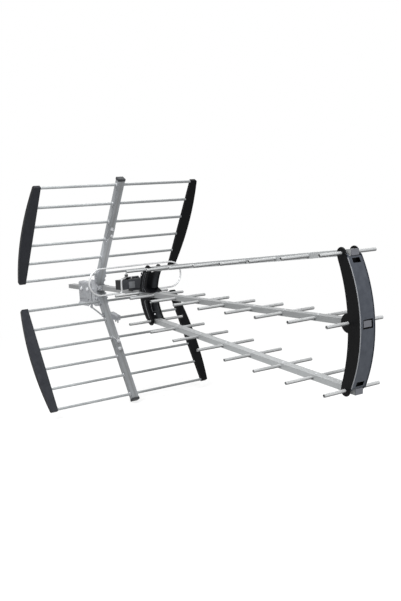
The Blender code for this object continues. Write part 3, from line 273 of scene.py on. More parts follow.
def spread(tree, given, thing, scale=None):  # sets the thing on every point, turned as the point says
    turn = addNode(tree, "GeometryNodeInputNamedAttribute", {"Name": "turn"}, data_type="FLOAT_VECTOR")
    placed = addNode(tree, "GeometryNodeInstanceOnPoints", {
        "Points": given["Geometry"], "Instance": thing,
        "Rotation": turn.outputs["Attribute"], "Scale": scale})
    return placed.outputs["Instances"]


def buildRingTree():  # open tubes, collars and washers: a chamfered section turned round the Y axis
    tree, given = newTree("ringRow", {
        "Outer Radius": 0.0035, "Wall": 0.0008, "Length": 0.16, "Chamfer": 0.0002, "Sides": 32})
    middleRadius = calc(tree, "MULTIPLY_ADD", given["Wall"], -0.5, given["Outer Radius"])
    ring = addNode(tree, "GeometryNodeCurvePrimitiveCircle", {
        "Radius": middleRadius, "Resolution": given["Sides"]})
    section = roundedSection(tree, given["Wall"], given["Length"], given["Chamfer"], 1)
    tube = turned(tree, sweep(tree, ring.outputs["Curve"], section), math.pi / 2)
    size = addNode(tree, "GeometryNodeInputNamedAttribute", {"Name": "size"}, data_type="FLOAT")
    stretch = addNode(tree, "ShaderNodeCombineXYZ", {"X": 1.0, "Y": size.outputs["Attribute"], "Z": 1.0})
    return endTree(tree, given, spread(tree, given, tube, stretch.outputs["Vector"]))


boltShape = {
    "chamfer": 0.3, "crown": 0.82, "core": 0.90,
    "threadRadius": 0.92, "threadLength": 0.94, "threadDepth": 0.38, "threadSteps": 14, "threadSides": 4,
    "washerSides": 24, "headSides": 6, "coreSides": 16,
}


def buildBoltTree():  # washer, chamfered hexagon and a threaded tail, standing along +Y
    tree, given = newTree("boltRow", {
        "Head Radius": 0.005, "Head Height": 0.0035, "Washer Radius": 0.0065, "Washer Height": 0.0008,
        "Tail Radius": 0.0025, "Tail Length": 0.003, "Thread Pitch": 0.0008})
    flat = 1 - boltShape["chamfer"]
    parts = []

    def share(label, factor):
        return calc(tree, "MULTIPLY", given[label], factor)

    def stack(geometry, *heights):  # moves a part up by the sum of the heights
        total = heights[0]
        for height in heights[1:]:
            total = calc(tree, "ADD", total, height)
        place = addNode(tree, "ShaderNodeCombineXYZ", {"Z": total})
        moved = addNode(tree, "GeometryNodeTransform",
                        {"Geometry": geometry, "Translation": place.outputs["Vector"]})
        parts.append(moved.outputs["Geometry"])

    def cylinder(sides, radius, depth):
        return addNode(tree, "GeometryNodeMeshCylinder",
                       {"Vertices": sides, "Radius": radius, "Depth": depth}).outputs["Mesh"]

    stack(cylinder(boltShape["washerSides"], given["Washer Radius"], given["Washer Height"]),
          share("Washer Height", 0.5))
    stack(cylinder(boltShape["headSides"], given["Head Radius"], share("Head Height", flat)),
          given["Washer Height"], share("Head Height", flat / 2))
    crown = addNode(tree, "GeometryNodeMeshCone", {
        "Vertices": boltShape["headSides"], "Radius Bottom": given["Head Radius"],
        "Radius Top": share("Head Radius", boltShape["crown"]),
        "Depth": share("Head Height", boltShape["chamfer"])})
    stack(crown.outputs["Mesh"], given["Washer Height"], share("Head Height", flat))
    stack(cylinder(boltShape["coreSides"], share("Tail Radius", boltShape["core"]), given["Tail Length"]),
          given["Washer Height"], given["Head Height"], share("Tail Length", 0.5))
    helix = addNode(tree, "GeometryNodeCurveSpiral", {
        "Resolution": boltShape["threadSteps"],
        "Rotations": calc(tree, "DIVIDE", given["Tail Length"], given["Thread Pitch"]),
        "Start Radius": share("Tail Radius", boltShape["threadRadius"]),
        "End Radius": share("Tail Radius", boltShape["threadRadius"]),
        "Height": share("Tail Length", boltShape["threadLength"])})
    ridge = addNode(tree, "GeometryNodeCurvePrimitiveCircle", {
        "Resolution": boltShape["threadSides"], "Radius": share("Thread Pitch", boltShape["threadDepth"])})
    stack(sweep(tree, helix.outputs["Curve"], ridge.outputs["Curve"], caps=True),
          given["Washer Height"], given["Head Height"])
    whole = addNode(tree, "GeometryNodeJoinGeometry")
    for part in parts:
        tree.links.new(part, whole.inputs["Geometry"])
    bolt = turned(tree, whole.outputs["Geometry"], -math.pi / 2)
    return endTree(tree, given, spread(tree, given, bolt))


def buildSleeveTree():  # a thin rectangular collar round a bar, standing along +Z
    tree, given = newTree("sleeveRow", {
        "Width X": 0.016, "Width Y": 0.021, "Corner": 0.001, "Wall": 0.0008, "Height": 0.008, "Edge": 0.0003})
    loop = roundedSection(tree, given["Width X"], given["Width Y"], given["Corner"], 3)
    section = roundedSection(tree, given["Wall"], given["Height"], given["Edge"], 1)
    return endTree(tree, given, spread(tree, given, sweep(tree, loop, section)))


def buildRibTree():  # a rounded bar swept along each chain of edges
    tree, given = newTree("ribRow", {"Width": 0.002, "Depth": 0.001, "Edge": 0.0003})
    path = addNode(tree, "GeometryNodeMeshToCurve", {"Mesh": given["Geometry"]})
    section = roundedSection(tree, given["Width"], given["Depth"], given["Edge"], 2)
    return endTree(tree, given, sweep(tree, path.outputs["Curve"], section, caps=True))


def buildKnobTree():  # a knob with grip ribs all round, standing along +Z
    tree, given = newTree("knobRow", {"Radius": 0.006, "Rib Depth": 0.0007, "Height": 0.005, "Ribs": 18})
    star = addNode(tree, "GeometryNodeCurveStar", {
        "Points": given["Ribs"], "Outer Radius": given["Radius"],
        "Inner Radius": calc(tree, "SUBTRACT", given["Radius"], given["Rib Depth"])})
    top = addNode(tree, "ShaderNodeCombineXYZ", {"Z": given["Height"]})
    line = addNode(tree, "GeometryNodeCurvePrimitiveLine", {"End": top.outputs["Vector"]})
    knob = sweep(tree, line.outputs["Curve"], star.outputs["Curve"], caps=True)
    return endTree(tree, given, spread(tree, given, knob), sharpAngle=0.4)


ringTree = buildRingTree()
knobTree = buildKnobTree()
boltTree = buildBoltTree()
sleeveTree = buildSleeveTree()
ribTree = buildRibTree()
print("geometry trees built")


# Material tools: patterns, masks and what they are mixed into

noiseSpan = (0.3, 0.7)  # where most of a noise's values lie
bumpDepth = 0.0002


def shaderInput(tree, label):
    return tree.nodes["Principled BSDF"].inputs[label]


def feeding(tree, label):  # what feeds one of the shader's inputs so far
    return shaderInput(tree, label).links[0].from_socket


def newMaterial(name, constants):
    made = bpy.data.materials.new(name)
    made.use_nodes = True
    for label, value in constants.items():
        shaderInput(made.node_tree, label).default_value = value
    return made, made.node_tree


def objectCoords(tree, kind="Object"):
    return addNode(tree, "ShaderNodeTexCoord").outputs[kind]


def objectPattern(tree, scale=(1, 1, 1), rotation=(0, 0, 0)):
    return addNode(tree, "ShaderNodeMapping", {
        "Vector": objectCoords(tree), "Rotation": rotation, "Scale": scale}).outputs["Vector"]


def noiseFactor(tree, vector, scale, detail=3.0, roughness=0.55):
    return addNode(tree, "ShaderNodeTexNoise", {
        "Vector": vector, "Scale": scale, "Detail": detail, "Roughness": roughness}).outputs["Fac"]


def rampTo(tree, factor, stops, socket):  # colour stops on a factor
    ramp = addNode(tree, "ShaderNodeValToRGB", {"Fac": factor})
    elements = ramp.color_ramp.elements
    for element, (position, colour) in zip(elements, (stops[0], stops[-1])):
        element.position = position
        element.color = (*colour, 1)
    for position, colour in stops[1:-1]:
        elements.new(position).color = (*colour, 1)
    tree.links.new(ramp.outputs["Color"], socket)


def rangeTo(tree, factor, spanIn, spanOut, socket=None):
    labels = ("From Min", "From Max", "To Min", "To Max")
    mapped = addNode(tree, "ShaderNodeMapRange", {"Value": factor, **dict(zip(labels, (*spanIn, *spanOut)))})
    if socket is not None:
        tree.links.new(mapped.outputs["Result"], socket)
    return mapped.outputs["Result"]


def bumpTo(tree, height, strength):
    bump = addNode(tree, "ShaderNodeBump", {"Height": height, "Strength": strength, "Distance": bumpDepth})
    tree.links.new(bump.outputs["Normal"], shaderInput(tree, "Normal"))


def alongAxis(tree, axis, origin=(0, 0, 0)):  # distance along an axis from a point
    away = vectorCalc(tree, "SUBTRACT", objectCoords(tree), tuple(origin))
    return vectorCalc(tree, "DOT_PRODUCT", away, tuple(axis))


def above(tree, value, threshold, soft=0.0002):  # 0 below the threshold, 1 above it
    return rangeTo(tree, value, (threshold - soft, threshold + soft), (0.0, 1.0))


def facing(tree, axis, least=0.5, soft=0.05):  # 1 where the surface looks along an axis
    return above(tree, vectorCalc(tree, "DOT_PRODUCT", objectCoords(tree, "Normal"), axis), least, soft)


def colourWhere(tree, mask, colour):  # lays a colour over the base where the mask is 1
    mixInto(tree, "RGBA", mask, feeding(tree, "Base Color"), colour, shaderInput(tree, "Base Color"))


def colourOutside(tree, mask, colour):  # keeps the base only where the mask is 1
    mixInto(tree, "RGBA", mask, colour, feeding(tree, "Base Color"), shaderInput(tree, "Base Color"))


def dimWhere(tree, mask, share):
    mixInto(tree, "RGBA", mask, feeding(tree, "Base Color"), (share, share, share),
            shaderInput(tree, "Base Color"), "MULTIPLY")


def scaled(colour, share):
    return tuple(c * share for c in colour)


# Metals

metal = {
    # the rods' far colour is a painted shade laid over their far side
    "rod": ((0.31, 0.325, 0.335), (0.44, 0.46, 0.47)), "rodFarShade": (0.21, 0.22, 0.225),
    "rodFarSpan": (-0.06, 0.03), "rodFarShare": 0.75,
    # the directors' under colour is a painted shade on their underside
    "director": ((0.40, 0.41, 0.415), (0.56, 0.57, 0.575)), "directorUnderShade": (0.10, 0.103, 0.106),
    "underLeast": 0.22, "underSoft": 0.25,
    # the boom's front colour is a painted highlight toward the booms' front ends
    "boom": ((0.28, 0.285, 0.29), (0.36, 0.365, 0.37)), "boomFrontHighlight": (0.40, 0.415, 0.42),
    "wire": ((0.56, 0.57, 0.58), (0.70, 0.71, 0.72)),
    # the wire's edge colour is a painted dark reflection along the dipole rod's edges
    "wireEdgeShade": (0.10, 0.103, 0.108), "wireEdgeSpan": (0.40, 0.75),
    "arm": ((0.33, 0.345, 0.36), (0.43, 0.45, 0.47)), "armStreak": (0.27, 0.265, 0.26),
    # the bolt colour is a painted highlight on the bolt heads of the zinc sheets
    "zinc": ((0.31, 0.32, 0.34), (0.42, 0.435, 0.455)), "bolt": (0.80, 0.81, 0.83),
    # the fastener colour is bright zinc for fasteners, and also a painted highlight on collars, punch marks
    # and rims
    "fastener": ((0.55, 0.56, 0.58), (0.75, 0.76, 0.78)),
    "shader": {"Metallic": 0.25, "IOR": 1.45}, "rough": (0.36, 0.52),
    "lineScale": 1400.0, "lineSpan": (0.35, 0.7), "lineShare": 0.4, "lineShade": 0.75, "lineBump": 0.12,
    "lineStretch": 0.02, "cloudScale": 14.0, "scuffScale": 190.0,
    "flakeScale": 260.0, "flakePale": 0.6, "flakeRough": (0.36, 0.55), "grainScale": 900.0, "grainBump": 0.12,
}
alongRods = (1, metal["lineStretch"], 1)
alongBooms = (metal["lineStretch"], 1, 1)
alongArms = (1, 1, metal["lineStretch"])
roundBends = (1, 0.3, 0.3)


def drawnMetal(name, tones, stretch, tilt=0.0):  # fine drawn lines along the metal, soft clouds and scuffs
    made, tree = newMaterial(name, metal["shader"])
    lines = noiseFactor(tree, objectPattern(tree, stretch, (0, -tilt, 0)), metal["lineScale"], detail=2.0)
    clouds = noiseFactor(tree, objectPattern(tree), metal["cloudScale"], detail=4.0)
    scuffs = noiseFactor(tree, objectPattern(tree), metal["scuffScale"])
    rampTo(tree, clouds, list(zip(noiseSpan, tones)), shaderInput(tree, "Base Color"))
    colourWhere(tree, rangeTo(tree, lines, metal["lineSpan"], (0.0, metal["lineShare"])),
                scaled(tones[0], metal["lineShade"]))
    rangeTo(tree, scuffs, noiseSpan, metal["rough"], shaderInput(tree, "Roughness"))
    bumpTo(tree, lines, metal["lineBump"])
    return made, tree


def zincMetal(name, tones):  # galvanised sheet with its faint spangle
    made, tree = newMaterial(name, metal["shader"])
    low, high = tones
    pattern = objectPattern(tree)
    cells = addNode(tree, "ShaderNodeTexVoronoi", {"Vector": pattern, "Scale": metal["flakeScale"]})
    flake = addNode(tree, "ShaderNodeSeparateColor", {"Color": cells.outputs["Color"]}).outputs
    stops = [(0.0, low), (metal["flakePale"], high), (1.0, low)]
    rampTo(tree, flake["Red"], stops, shaderInput(tree, "Base Color"))
    rangeTo(tree, flake["Green"], (0.0, 1.0), metal["flakeRough"], shaderInput(tree, "Roughness"))
    bumpTo(tree, noiseFactor(tree, pattern, metal["grainScale"]), metal["grainBump"])
    return made, tree


def rodsWithPaintedFarShade():  # painted shade: the reflector's rods are darker on their far side
    made, tree = drawnMetal("rodAluminium", metal["rod"], alongRods)
    paintedFarShade = rangeTo(tree, alongAxis(tree, (0, 1, 0)), metal["rodFarSpan"], (0.0, metal["rodFarShare"]))
    colourWhere(tree, paintedFarShade, metal["rodFarShade"])
    return made


def shadedDirectors():  # painted shade: the directors are darker on their underside
    made, tree = drawnMetal("directorAluminium", metal["director"], alongRods)
    paintedUnderShade = facing(tree, (0, 0, -1), metal["underLeast"], metal["underSoft"])
    colourWhere(tree, paintedUnderShade, metal["directorUnderShade"])
    return made


def wireWithPaintedEdgeShade():  # the dipole's polished rod is bright, with a painted dark reflection along its edges where the surface turns away
    made, tree = drawnMetal("dipoleAluminium", metal["wire"], roundBends)
    grazing = addNode(tree, "ShaderNodeLayerWeight").outputs["Facing"]
    colourWhere(tree, rangeTo(tree, grazing, metal["wireEdgeSpan"], (0.0, 1.0)), metal["wireEdgeShade"])
    return made


rodMetal = rodsWithPaintedFarShade()
directorMetal = shadedDirectors()
wireMetal = wireWithPaintedEdgeShade()
zincSheet = zincMetal("zincSheet", metal["zinc"])[0]
# bright zinc for fasteners, whose pale tone also paints the glints on the collars, punch marks and lap plate
# rims
brightZincAndGlint = zincMetal("zincFastener", metal["fastener"])[0]


# Plastics

plastic = {
    "strip": ((0.020, 0.0215, 0.0265), (0.031, 0.033, 0.039)),
    # the far strips' colour is the near strips' slate with painted shade
    "farStripShade": ((0.002, 0.0022, 0.0026), (0.0045, 0.0048, 0.0056)),
    # the spacer's side colour is painted shade on its sides and down its far edge
    "spacer": ((0.053, 0.059, 0.072), (0.077, 0.085, 0.101)), "spacerSideShade": (0.0068, 0.0092, 0.0165),
    "black": ((0.0025, 0.0027, 0.0034), (0.005, 0.0054, 0.0066)), "web": (0.044, 0.047, 0.052),
    # the box's side colour is painted shade on its sides
    "box": ((0.055, 0.058, 0.065), (0.090, 0.094, 0.105)), "boxSideShade": (0.0025, 0.0027, 0.0032),
    "cap": ((0.030, 0.032, 0.035), (0.048, 0.050, 0.054)), "nose": (0.118, 0.122, 0.138), "capRough": 0.5,
    # the gloss colour is glossy plastic made pale as a painted highlight on the rear spacers' ridges
    "glossAndHighlight": ((0.060, 0.063, 0.070), (0.095, 0.10, 0.11)),
    "panel": ((0.18, 0.187, 0.198), (0.24, 0.25, 0.265)),
    # the ridge colour is a painted highlight for the front spacer's bead
    "ridge": (0.30, 0.31, 0.33), "ridgeShade": 0.8, "mottleScale": 60.0,
}


def mouldedPlastic(name, tones, rough=(0.38, 0.55), grain=1500.0, bump=0.25, specular=0.22):
    made, tree = newMaterial(name, {"Metallic": 0.0, "IOR": 1.49, "Specular IOR Level": specular})
    pattern = objectPattern(tree)
    mottle = noiseFactor(tree, pattern, plastic["mottleScale"], detail=5.0, roughness=0.6)
    rampTo(tree, mottle, list(zip(noiseSpan, tones)), shaderInput(tree, "Base Color"))
    rangeTo(tree, mottle, noiseSpan, rough, shaderInput(tree, "Roughness"))
    bumpTo(tree, noiseFactor(tree, pattern, grain, detail=2.0), bump)
    return made, tree


def plasticWithShadedSides(name, face, side, **options):  # one tone on what looks forward, a darker painted shade on every other face
    made, tree = mouldedPlastic(name, face, **options)
    colourOutside(tree, facing(tree, (1, 0, 0)), side)
    return made, tree


# painted shade: the strips, the front spacer and the feed box are darker on every face that does not look
# forward
stripSlate = plasticWithShadedSides("stripPlastic", plastic["strip"], plastic["black"][0], specular=0.14)[0]
# painted shade: the far strips, the same slate as the near ones, made darker
farShadedSlate = mouldedPlastic("farStripPlastic", plastic["farStripShade"], specular=0.06)[0]
slate, slateTree = plasticWithShadedSides("spacerPlastic", plastic["spacer"], plastic["spacerSideShade"], specular=0.1)
black, blackTree = mouldedPlastic(
    "blackPlastic", plastic["black"], rough=(0.2, 0.36), grain=1100.0, bump=0.1, specular=0.035)
boxBlack = plasticWithShadedSides(
    "boxPlastic", plastic["box"], plastic["boxSideShade"], rough=(0.25, 0.4), bump=0.12, specular=0.15)[0]
capGrey = mouldedPlastic("capPlastic", plastic["cap"], rough=(0.5, 0.7))[0]
glossAndHighlight = mouldedPlastic("glossPlastic", plastic["glossAndHighlight"], rough=(0.12, 0.25), bump=0.05, specular=0.5)[0]
panelGrey = mouldedPlastic("panelPlastic", plastic["panel"], rough=(0.3, 0.45), bump=0.1)[0]
ridgeTones = (scaled(plastic["ridge"], plastic["ridgeShade"]), plastic["ridge"])
# painted highlight: pale plastic for the bead along the front spacer's near edge
beadHighlightGrey = mouldedPlastic("ridgePlastic", ridgeTones, rough=(0.3, 0.45))[0]


# Circuit board

board = {
    "lacquer": {"Color1": (0.010, 0.075, 0.032), "Color2": (0.016, 0.105, 0.045),
                "Mortar": (0.035, 0.185, 0.080), "Mortar Size": 0.022,
                "Scale": 42.0, "Brick Width": 0.9, "Row Height": 0.16},
    "trackRows": {"offset": 0.61, "squash": 2.3, "squash_frequency": 3},
    "pad": (0.52, 0.50, 0.44), "padScale": 170.0, "padSize": 0.13, "padSoft": 0.02,
    "nickel": (0.55, 0.54, 0.51), "nickelMetallic": 0.7, "ferrite": (0.030, 0.031, 0.034),
    "sheetX": 0.2678, "sheetHalf": 0.00095, "socketTop": 0.0503, "rough": (0.3, 0.42), "bump": 0.2,
}


def circuitBoard(name):  # green lacquer over tracks, tinned pads, a dark coil and a nickel socket
    made, tree = newMaterial(name, {"Metallic": 0.0, "IOR": 1.5})
    lacquer = dict(board["lacquer"], Vector=objectPattern(tree, rotation=(0, math.pi / 2, 0)))
    tracks = addNode(tree, "ShaderNodeTexBrick", lacquer, **board["trackRows"]).outputs
    pads = addNode(tree, "ShaderNodeTexVoronoi", {
        "Vector": objectPattern(tree, (0, 1, 1)), "Scale": board["padScale"]}).outputs
    notPad = above(tree, pads["Distance"], board["padSize"], board["padSoft"])
    sheet = mixInto(tree, "RGBA", notPad, board["pad"], tracks["Color"])
    depth = calc(tree, "ABSOLUTE", alongAxis(tree, (1, 0, 0), (board["sheetX"], 0, 0)))
    offSheet = above(tree, depth, board["sheetHalf"], soft=0.0001)
    parts = mixInto(tree, "RGBA", offSheet, sheet, board["ferrite"])
    overSocket = above(tree, alongAxis(tree, (0, 0, 1)), board["socketTop"])
    mixInto(tree, "RGBA", overSocket, board["nickel"], parts, shaderInput(tree, "Base Color"))
    mixInto(tree, "FLOAT", overSocket, board["nickelMetallic"], 0.0, shaderInput(tree, "Metallic"))
    rangeTo(tree, tracks["Fac"], (0.0, 1.0), board["rough"], shaderInput(tree, "Roughness"))
    bumpTo(tree, tracks["Fac"], board["bump"])
    return made


boardGreen = circuitBoard("boardGreen")
print("materials built")


# Arms and booms: what changes along them is placed by the rods that cross them

arm = {
    "rods": 6, "width": 0.020, "depth": 0.015, "overrun": 0.020, "capReach": 0.0065, "joint": 0.120,
    "outerShade": 0.70, "streakY": 0.001, "streakHalf": (0.001, 0.0035), "streakShare": 0.55,
    # painted light and shade: the same arm metal is made lighter on the upper arm and darker on the lower one
    "tones": {"upper": 1.10, "lower": 0.86},
}


def plasticWhere(tree, mask, colour):  # turns the metal into plastic where the mask is 1
    rough = feeding(tree, "Roughness")
    colourWhere(tree, mask, colour)
    mixInto(tree, "FLOAT", mask, metal["shader"]["Metallic"], 0.0, shaderInput(tree, "Metallic"))
    mixInto(tree, "FLOAT", mask, rough, plastic["capRough"], shaderInput(tree, "Roughness"))


def armMetal(wing):  # a dull streak along it, the upper arm painted lighter and the lower one darker as painted light and shade, a painted shade on the half past its joint, and a dark cap at the end
    first, last, axis = lineThrough(wing + "_reflector_rod", arm["rods"])
    made, tree = drawnMetal(wing + "ArmAluminium", metal["arm"], alongArms, math.atan2(axis.x, axis.z))
    run = alongAxis(tree, axis, first)
    across = calc(tree, "ABSOLUTE", alongAxis(tree, (0, 1, 0), first + Vector((0, arm["streakY"], 0))))
    colourWhere(tree, rangeTo(tree, across, arm["streakHalf"], (arm["streakShare"], 0.0)), metal["armStreak"])
    # painted light and shade: one tone for the upper arm, another for the lower
    dimWhere(tree, 1.0, arm["tones"][wing])
    dimWhere(tree, above(tree, run, arm["joint"], soft=0.0005), arm["outerShade"])
    capStart = (last - first).length + arm["overrun"] - arm["capReach"]
    plasticWhere(tree, above(tree, run, capStart), plastic["cap"][0])
    return made


boom = {
    "height": 0.012, "fadeX": (0.10, 0.75), "fadeShare": 0.85, "plugBehind": 0.004,
    "tones": {"middle": (1.0, 0.70), "outer": (1.0, 1.06), "tail": (0.80, 0.80)},  # rear, front: the front share scales the painted highlight
}


def boomMetal(place):  # its tone runs from rear to front, paler toward the front with a painted highlight, and the plug in its nose is grey plastic
    rearShare, frontShare = boom["tones"][place]
    made, tree = drawnMetal(place + "Aluminium", [scaled(c, rearShare) for c in metal["boom"]], alongBooms)
    run = alongAxis(tree, (1, 0, 0))
    forward = rangeTo(tree, run, boom["fadeX"], (0.0, boom["fadeShare"]))
    # painted highlight: paler toward the front
    colourWhere(tree, forward, scaled(metal["boomFrontHighlight"], frontShare))
    plugStart = centreOf(f"middle_director_{directorCounts['middle']}").x + boom["plugBehind"]
    plasticWhere(tree, above(tree, run, plugStart), plastic["nose"])
    return made


# Sheet parts whose bolts have a painted highlight: a spot on the near face of each, and its tone

boltedSheets = {"hub_plate_near": ((0.0800, 0, 0.0420), 1.12), "mast_clamp": ((-0.005, 0, 0.040), 0.88)}
bolted = {"proud": 0.0005, "lowestZ": -0.008, "lowSoft": 0.001}


def zincWithPaintedBoltGlints(node):
    spot, tone = boltedSheets[node]
    made, tree = zincMetal(node + "Zinc", [scaled(c, tone) for c in metal["zinc"]])
    skin = surfaceAt(node, (0, -1, 0), spot)
    proud = above(tree, alongAxis(tree, (0, -1, 0)), -skin.y + bolted["proud"], soft=0.0001)
    high = above(tree, alongAxis(tree, (0, 0, 1)), bolted["lowestZ"], bolted["lowSoft"])
    # painted highlight: the bolt heads proud of the near face
    colourWhere(tree, calc(tree, "MULTIPLY", proud, high), metal["bolt"])
    return made


# Spacers: painted shade behind the front one's bowed face and down its far edge, and painted light on the
# webs of the rear ones

bow = {"y": -0.049, "heights": (-0.06, 0.02, 0.14), "slack": 0.0012, "recessShade": (0.0012, 0.0013, 0.0018),
       "edgeBand": 0.0022}
web = {"besideBoom": 0.006, "halfWidth": (0.003, 0.010)}


def shadeFrontSpacer(tree):  # painted shade: near black inside its slots and windows, and dark down the far edge
    spots = [surfaceAt("front_spacer", (1, 0, 0), (0, bow["y"], z)) for z in bow["heights"]]
    (centreX, centreZ), radius = circleThrough([(p.x, p.z) for p in spots])
    flat = vectorCalc(tree, "MULTIPLY", objectCoords(tree), (1, 0, 1))
    away = vectorCalc(tree, "DISTANCE", flat, (centreX, 0, centreZ))
    colourOutside(tree, above(tree, away, radius - bow["slack"]), bow["recessShade"])
    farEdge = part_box("front_spacer")[1].y - bow["edgeBand"]
    colourWhere(tree, above(tree, alongAxis(tree, (0, 1, 0)), farEdge, soft=0.0003), plastic["spacerSideShade"])


def lightenWebs(tree):  # the rear spacers' webs catch a little light between their side plates
    middleY = centreOf("middle_boom").y + web["besideBoom"]
    across = calc(tree, "ABSOLUTE", alongAxis(tree, (0, 1, 0), (0, middleY, 0)))
    middle = rangeTo(tree, across, web["halfWidth"], (1.0, 0.0))
    colourWhere(tree, calc(tree, "MULTIPLY", facing(tree, (1, 0, 0)), middle), plastic["web"])


def paint(names, material):
    for name in names:
        slots = nodes[name].data.materials
        slots.clear()
        slots.append(material)


shadeFrontSpacer(slateTree)
lightenWebs(blackTree)
for wing in wings:
    paint([wing + "_arm"], armMetal(wing))
paint(["middle_boom"], boomMetal("middle"))
paint(["top_boom", "bottom_boom"], boomMetal("outer"))
paint(["tail_tube"], boomMetal("tail"))
paint(["folded_dipole"], wireMetal)
paint(["hub_plate_far", "mast_jaw", "brace", "mast_u_bolt"], zincSheet)
for node in boltedSheets:
    paint([node], zincWithPaintedBoltGlints(node))
paint([n for n in nodes if n.endswith("_strip_near")], stripSlate)
paint([n for n in nodes if n.endswith("_strip_far")], farShadedSlate)
paint(["front_spacer"], slate)
paint(["rear_spacer_upper", "rear_spacer_lower"], black)
paint(["feed_box", "feed_box_cover"], boxBlack)
paint(["balun_board"], boardGreen)
print("CAD nodes painted")


# Rods: smooth open tubes in place of the plain ones

tube = {"Outer Radius": 0.0035, "Wall": 0.0008, "Chamfer": 0.00022, "Sides": 40}


def tubeRow(pieceName, prefix, count, material):
    names = [f"{prefix}_{i}" for i in range(1, count + 1)]
    boxes = [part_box(n) for n in names]
    lengths = [high.y - low.y for low, high in boxes]
    sizes = [length / lengths[0] for length in lengths]
    points = pointMesh([(low + high) / 2 for low, high in boxes], sizes=sizes)
    piece = growPiece(pieceName, points, ringTree, dict(tube, Length=lengths[0]), material)
    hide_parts(*names)


for row, count in directorCounts.items():
    tubeRow(row + "DirectorTubes", row + "_director", count, directorMetal)
for wing in wings:
    tubeRow(wing + "ReflectorTubes", wing + "_reflector_rod", arm["rods"], rodMetal)
print("rods drawn")


# Crimped collars where the rods cross the arms, and punch marks where they cross the booms, in bright zinc
# that also paints their glints

collar = {"Outer Radius": 0.0052, "Wall": 0.0016, "Length": 0.0016, "Chamfer": 0.0004, "Sides": 28}
punch = {"Outer Radius": 0.0030, "Wall": 0.0022, "Length": 0.0005, "Chamfer": 0.0002, "Sides": 20}


def armCollars():  # on both sides of the arm, round every rod but the innermost
    reach = Vector((0, arm["width"] / 2 + collar["Length"] / 2, 0))
    rods = [centreOf(f"{wing}_reflector_rod_{i}") for wing in wings for i in range(2, arm["rods"] + 1)]
    places = [rod + reach * face for rod in rods for face in (-1, 1)]
    growPiece("armCollars", pointMesh(places), ringTree, collar, brightZincAndGlint)


def boomPunchMarks():  # over and under the boom, at every rod but the front one
    places, turns = [], []
    for row, count in directorCounts.items():
        axis = lineThrough(row + "_director", count)[2]
        reach = Vector((-axis.z, 0, axis.x)) * (boom["height"] / 2 + punch["Length"] / 2)
        for i in range(1, count):
            where = centreOf(f"{row}_director_{i}")
            for face in (-1, 1):
                places.append(where + reach * face)
                turns.append(Euler((math.pi / 2, -math.atan2(axis.z, axis.x), 0)))
    growPiece("boomPunchMarks", pointMesh(places, turns), ringTree, punch, brightZincAndGlint)


armCollars()
boomPunchMarks()
print("collars and punch marks set")


# Arm ends, and the joint halfway up each arm: a lap plate with its rim and two bolts

armCap = {"Width X": 0.0164, "Width Y": 0.0214, "Corner": 0.0014,
          "Wall": 0.0010, "Height": 0.0060, "Edge": 0.0003}
armCapShort = 0.0004  # how far the cap stays below the arm's end
splice = {
    "apex": 0.1250, "sides": (0.1120, 0.1160), "top": 0.160, "half": 0.0098, "sheet": 0.0011, "ease": 0.0003,
    "bolts": ((0.130, 0.0035), (0.152, 0.0)),  # along the arm and across it
    "bolt": {"Head Radius": 0.0036, "Head Height": 0.0028, "Washer Radius": 0.0048, "Washer Height": 0.0008,
             "Tail Radius": 0.0022, "Tail Length": 0.0040, "Thread Pitch": 0.0009},
    "rim": {"Width": 0.0013, "Depth": 0.0013, "Edge": 0.0004},
}


def dressArms():
    caps, capTurns, bolts, boltTurns, rims = [], [], [], [], []
    outlines = {}
    for wing, side in wings.items():
        first, last, axis = lineThrough(wing + "_reflector_rod", arm["rods"])
        front = Vector((abs(axis.z), 0, -axis.x * side))
        face = first + front * arm["depth"] / 2
        sheet = front * splice["sheet"]
        caps.append(last + axis * (arm["overrun"] - armCapShort - armCap["Height"] / 2))
        capTurns.append(Vector((0, 0, 1)).rotation_difference(axis).to_euler())
        for run, across in splice["bolts"]:
            bolts.append(face + axis * run + Vector((0, across, 0)) + sheet)
            boltTurns.append(Vector((0, 1, 0)).rotation_difference(front).to_euler())
        left, right = (Vector((0, way * splice["half"], 0)) for way in (-1, 1))
        chevron = [face + axis * splice["sides"][0] + left, face + axis * splice["apex"],
                   face + axis * splice["sides"][1] + right]
        top = [face + axis * splice["top"] + right, face + axis * splice["top"] + left]
        outlines[wing] = chevron + top, front
        rims.append([p + sheet for p in chevron])
    growPiece("armCaps", pointMesh(caps, capTurns), sleeveTree, armCap, capGrey)
    for wing, (outline, front) in outlines.items():
        plate = plateMesh(outline, front, splice["sheet"], splice["ease"])
        finishPiece(wing + "ArmOverlap", plate, nodes[wing + "_arm"].data.materials[0])
    growPiece("armOverlapRims", pathMesh(rims), ribTree, splice["rim"], brightZincAndGlint)
    growPiece("armBolts", pointMesh(bolts, boltTurns), boltTree, splice["bolt"], brightZincAndGlint)


dressArms()
print("arms dressed")


# Ridges and beads on the plastic mouldings, made pale as painted highlights

bead = {"section": {"Width": 0.0017, "Depth": 0.0017, "Edge": 0.0005},
        "heights": (-0.084, 0.163), "steps": 40, "inset": 0.0004}
ridges = {
    "fine": {"Width": 0.0012, "Depth": 0.0012, "Edge": 0.0004},
    "broad": {"Width": 0.0026, "Depth": 0.0022, "Edge": 0.0007},
    "upperHeights": (0.046, 0.098), "lowerHeights": (-0.020, 0.026),
    "upperShares": (0.36, 0.60), "lowerShare": 0.66, "farEdgeIn": 0.0015,
    "windowY": (-0.0440, -0.0250), "windowZ": (-0.0035, 0.0210), "windowSteps": 12, "proud": 0.0002,
}
screw = {"Head Radius": 0.0019, "Head Height": 0.0012, "Washer Radius": 0.0026, "Washer Height": 0.0005,
         "Tail Radius": 0.0008, "Tail Length": 0.0006, "Thread Pitch": 0.0005}
screwPlace = (0, -0.0400, -0.0100)


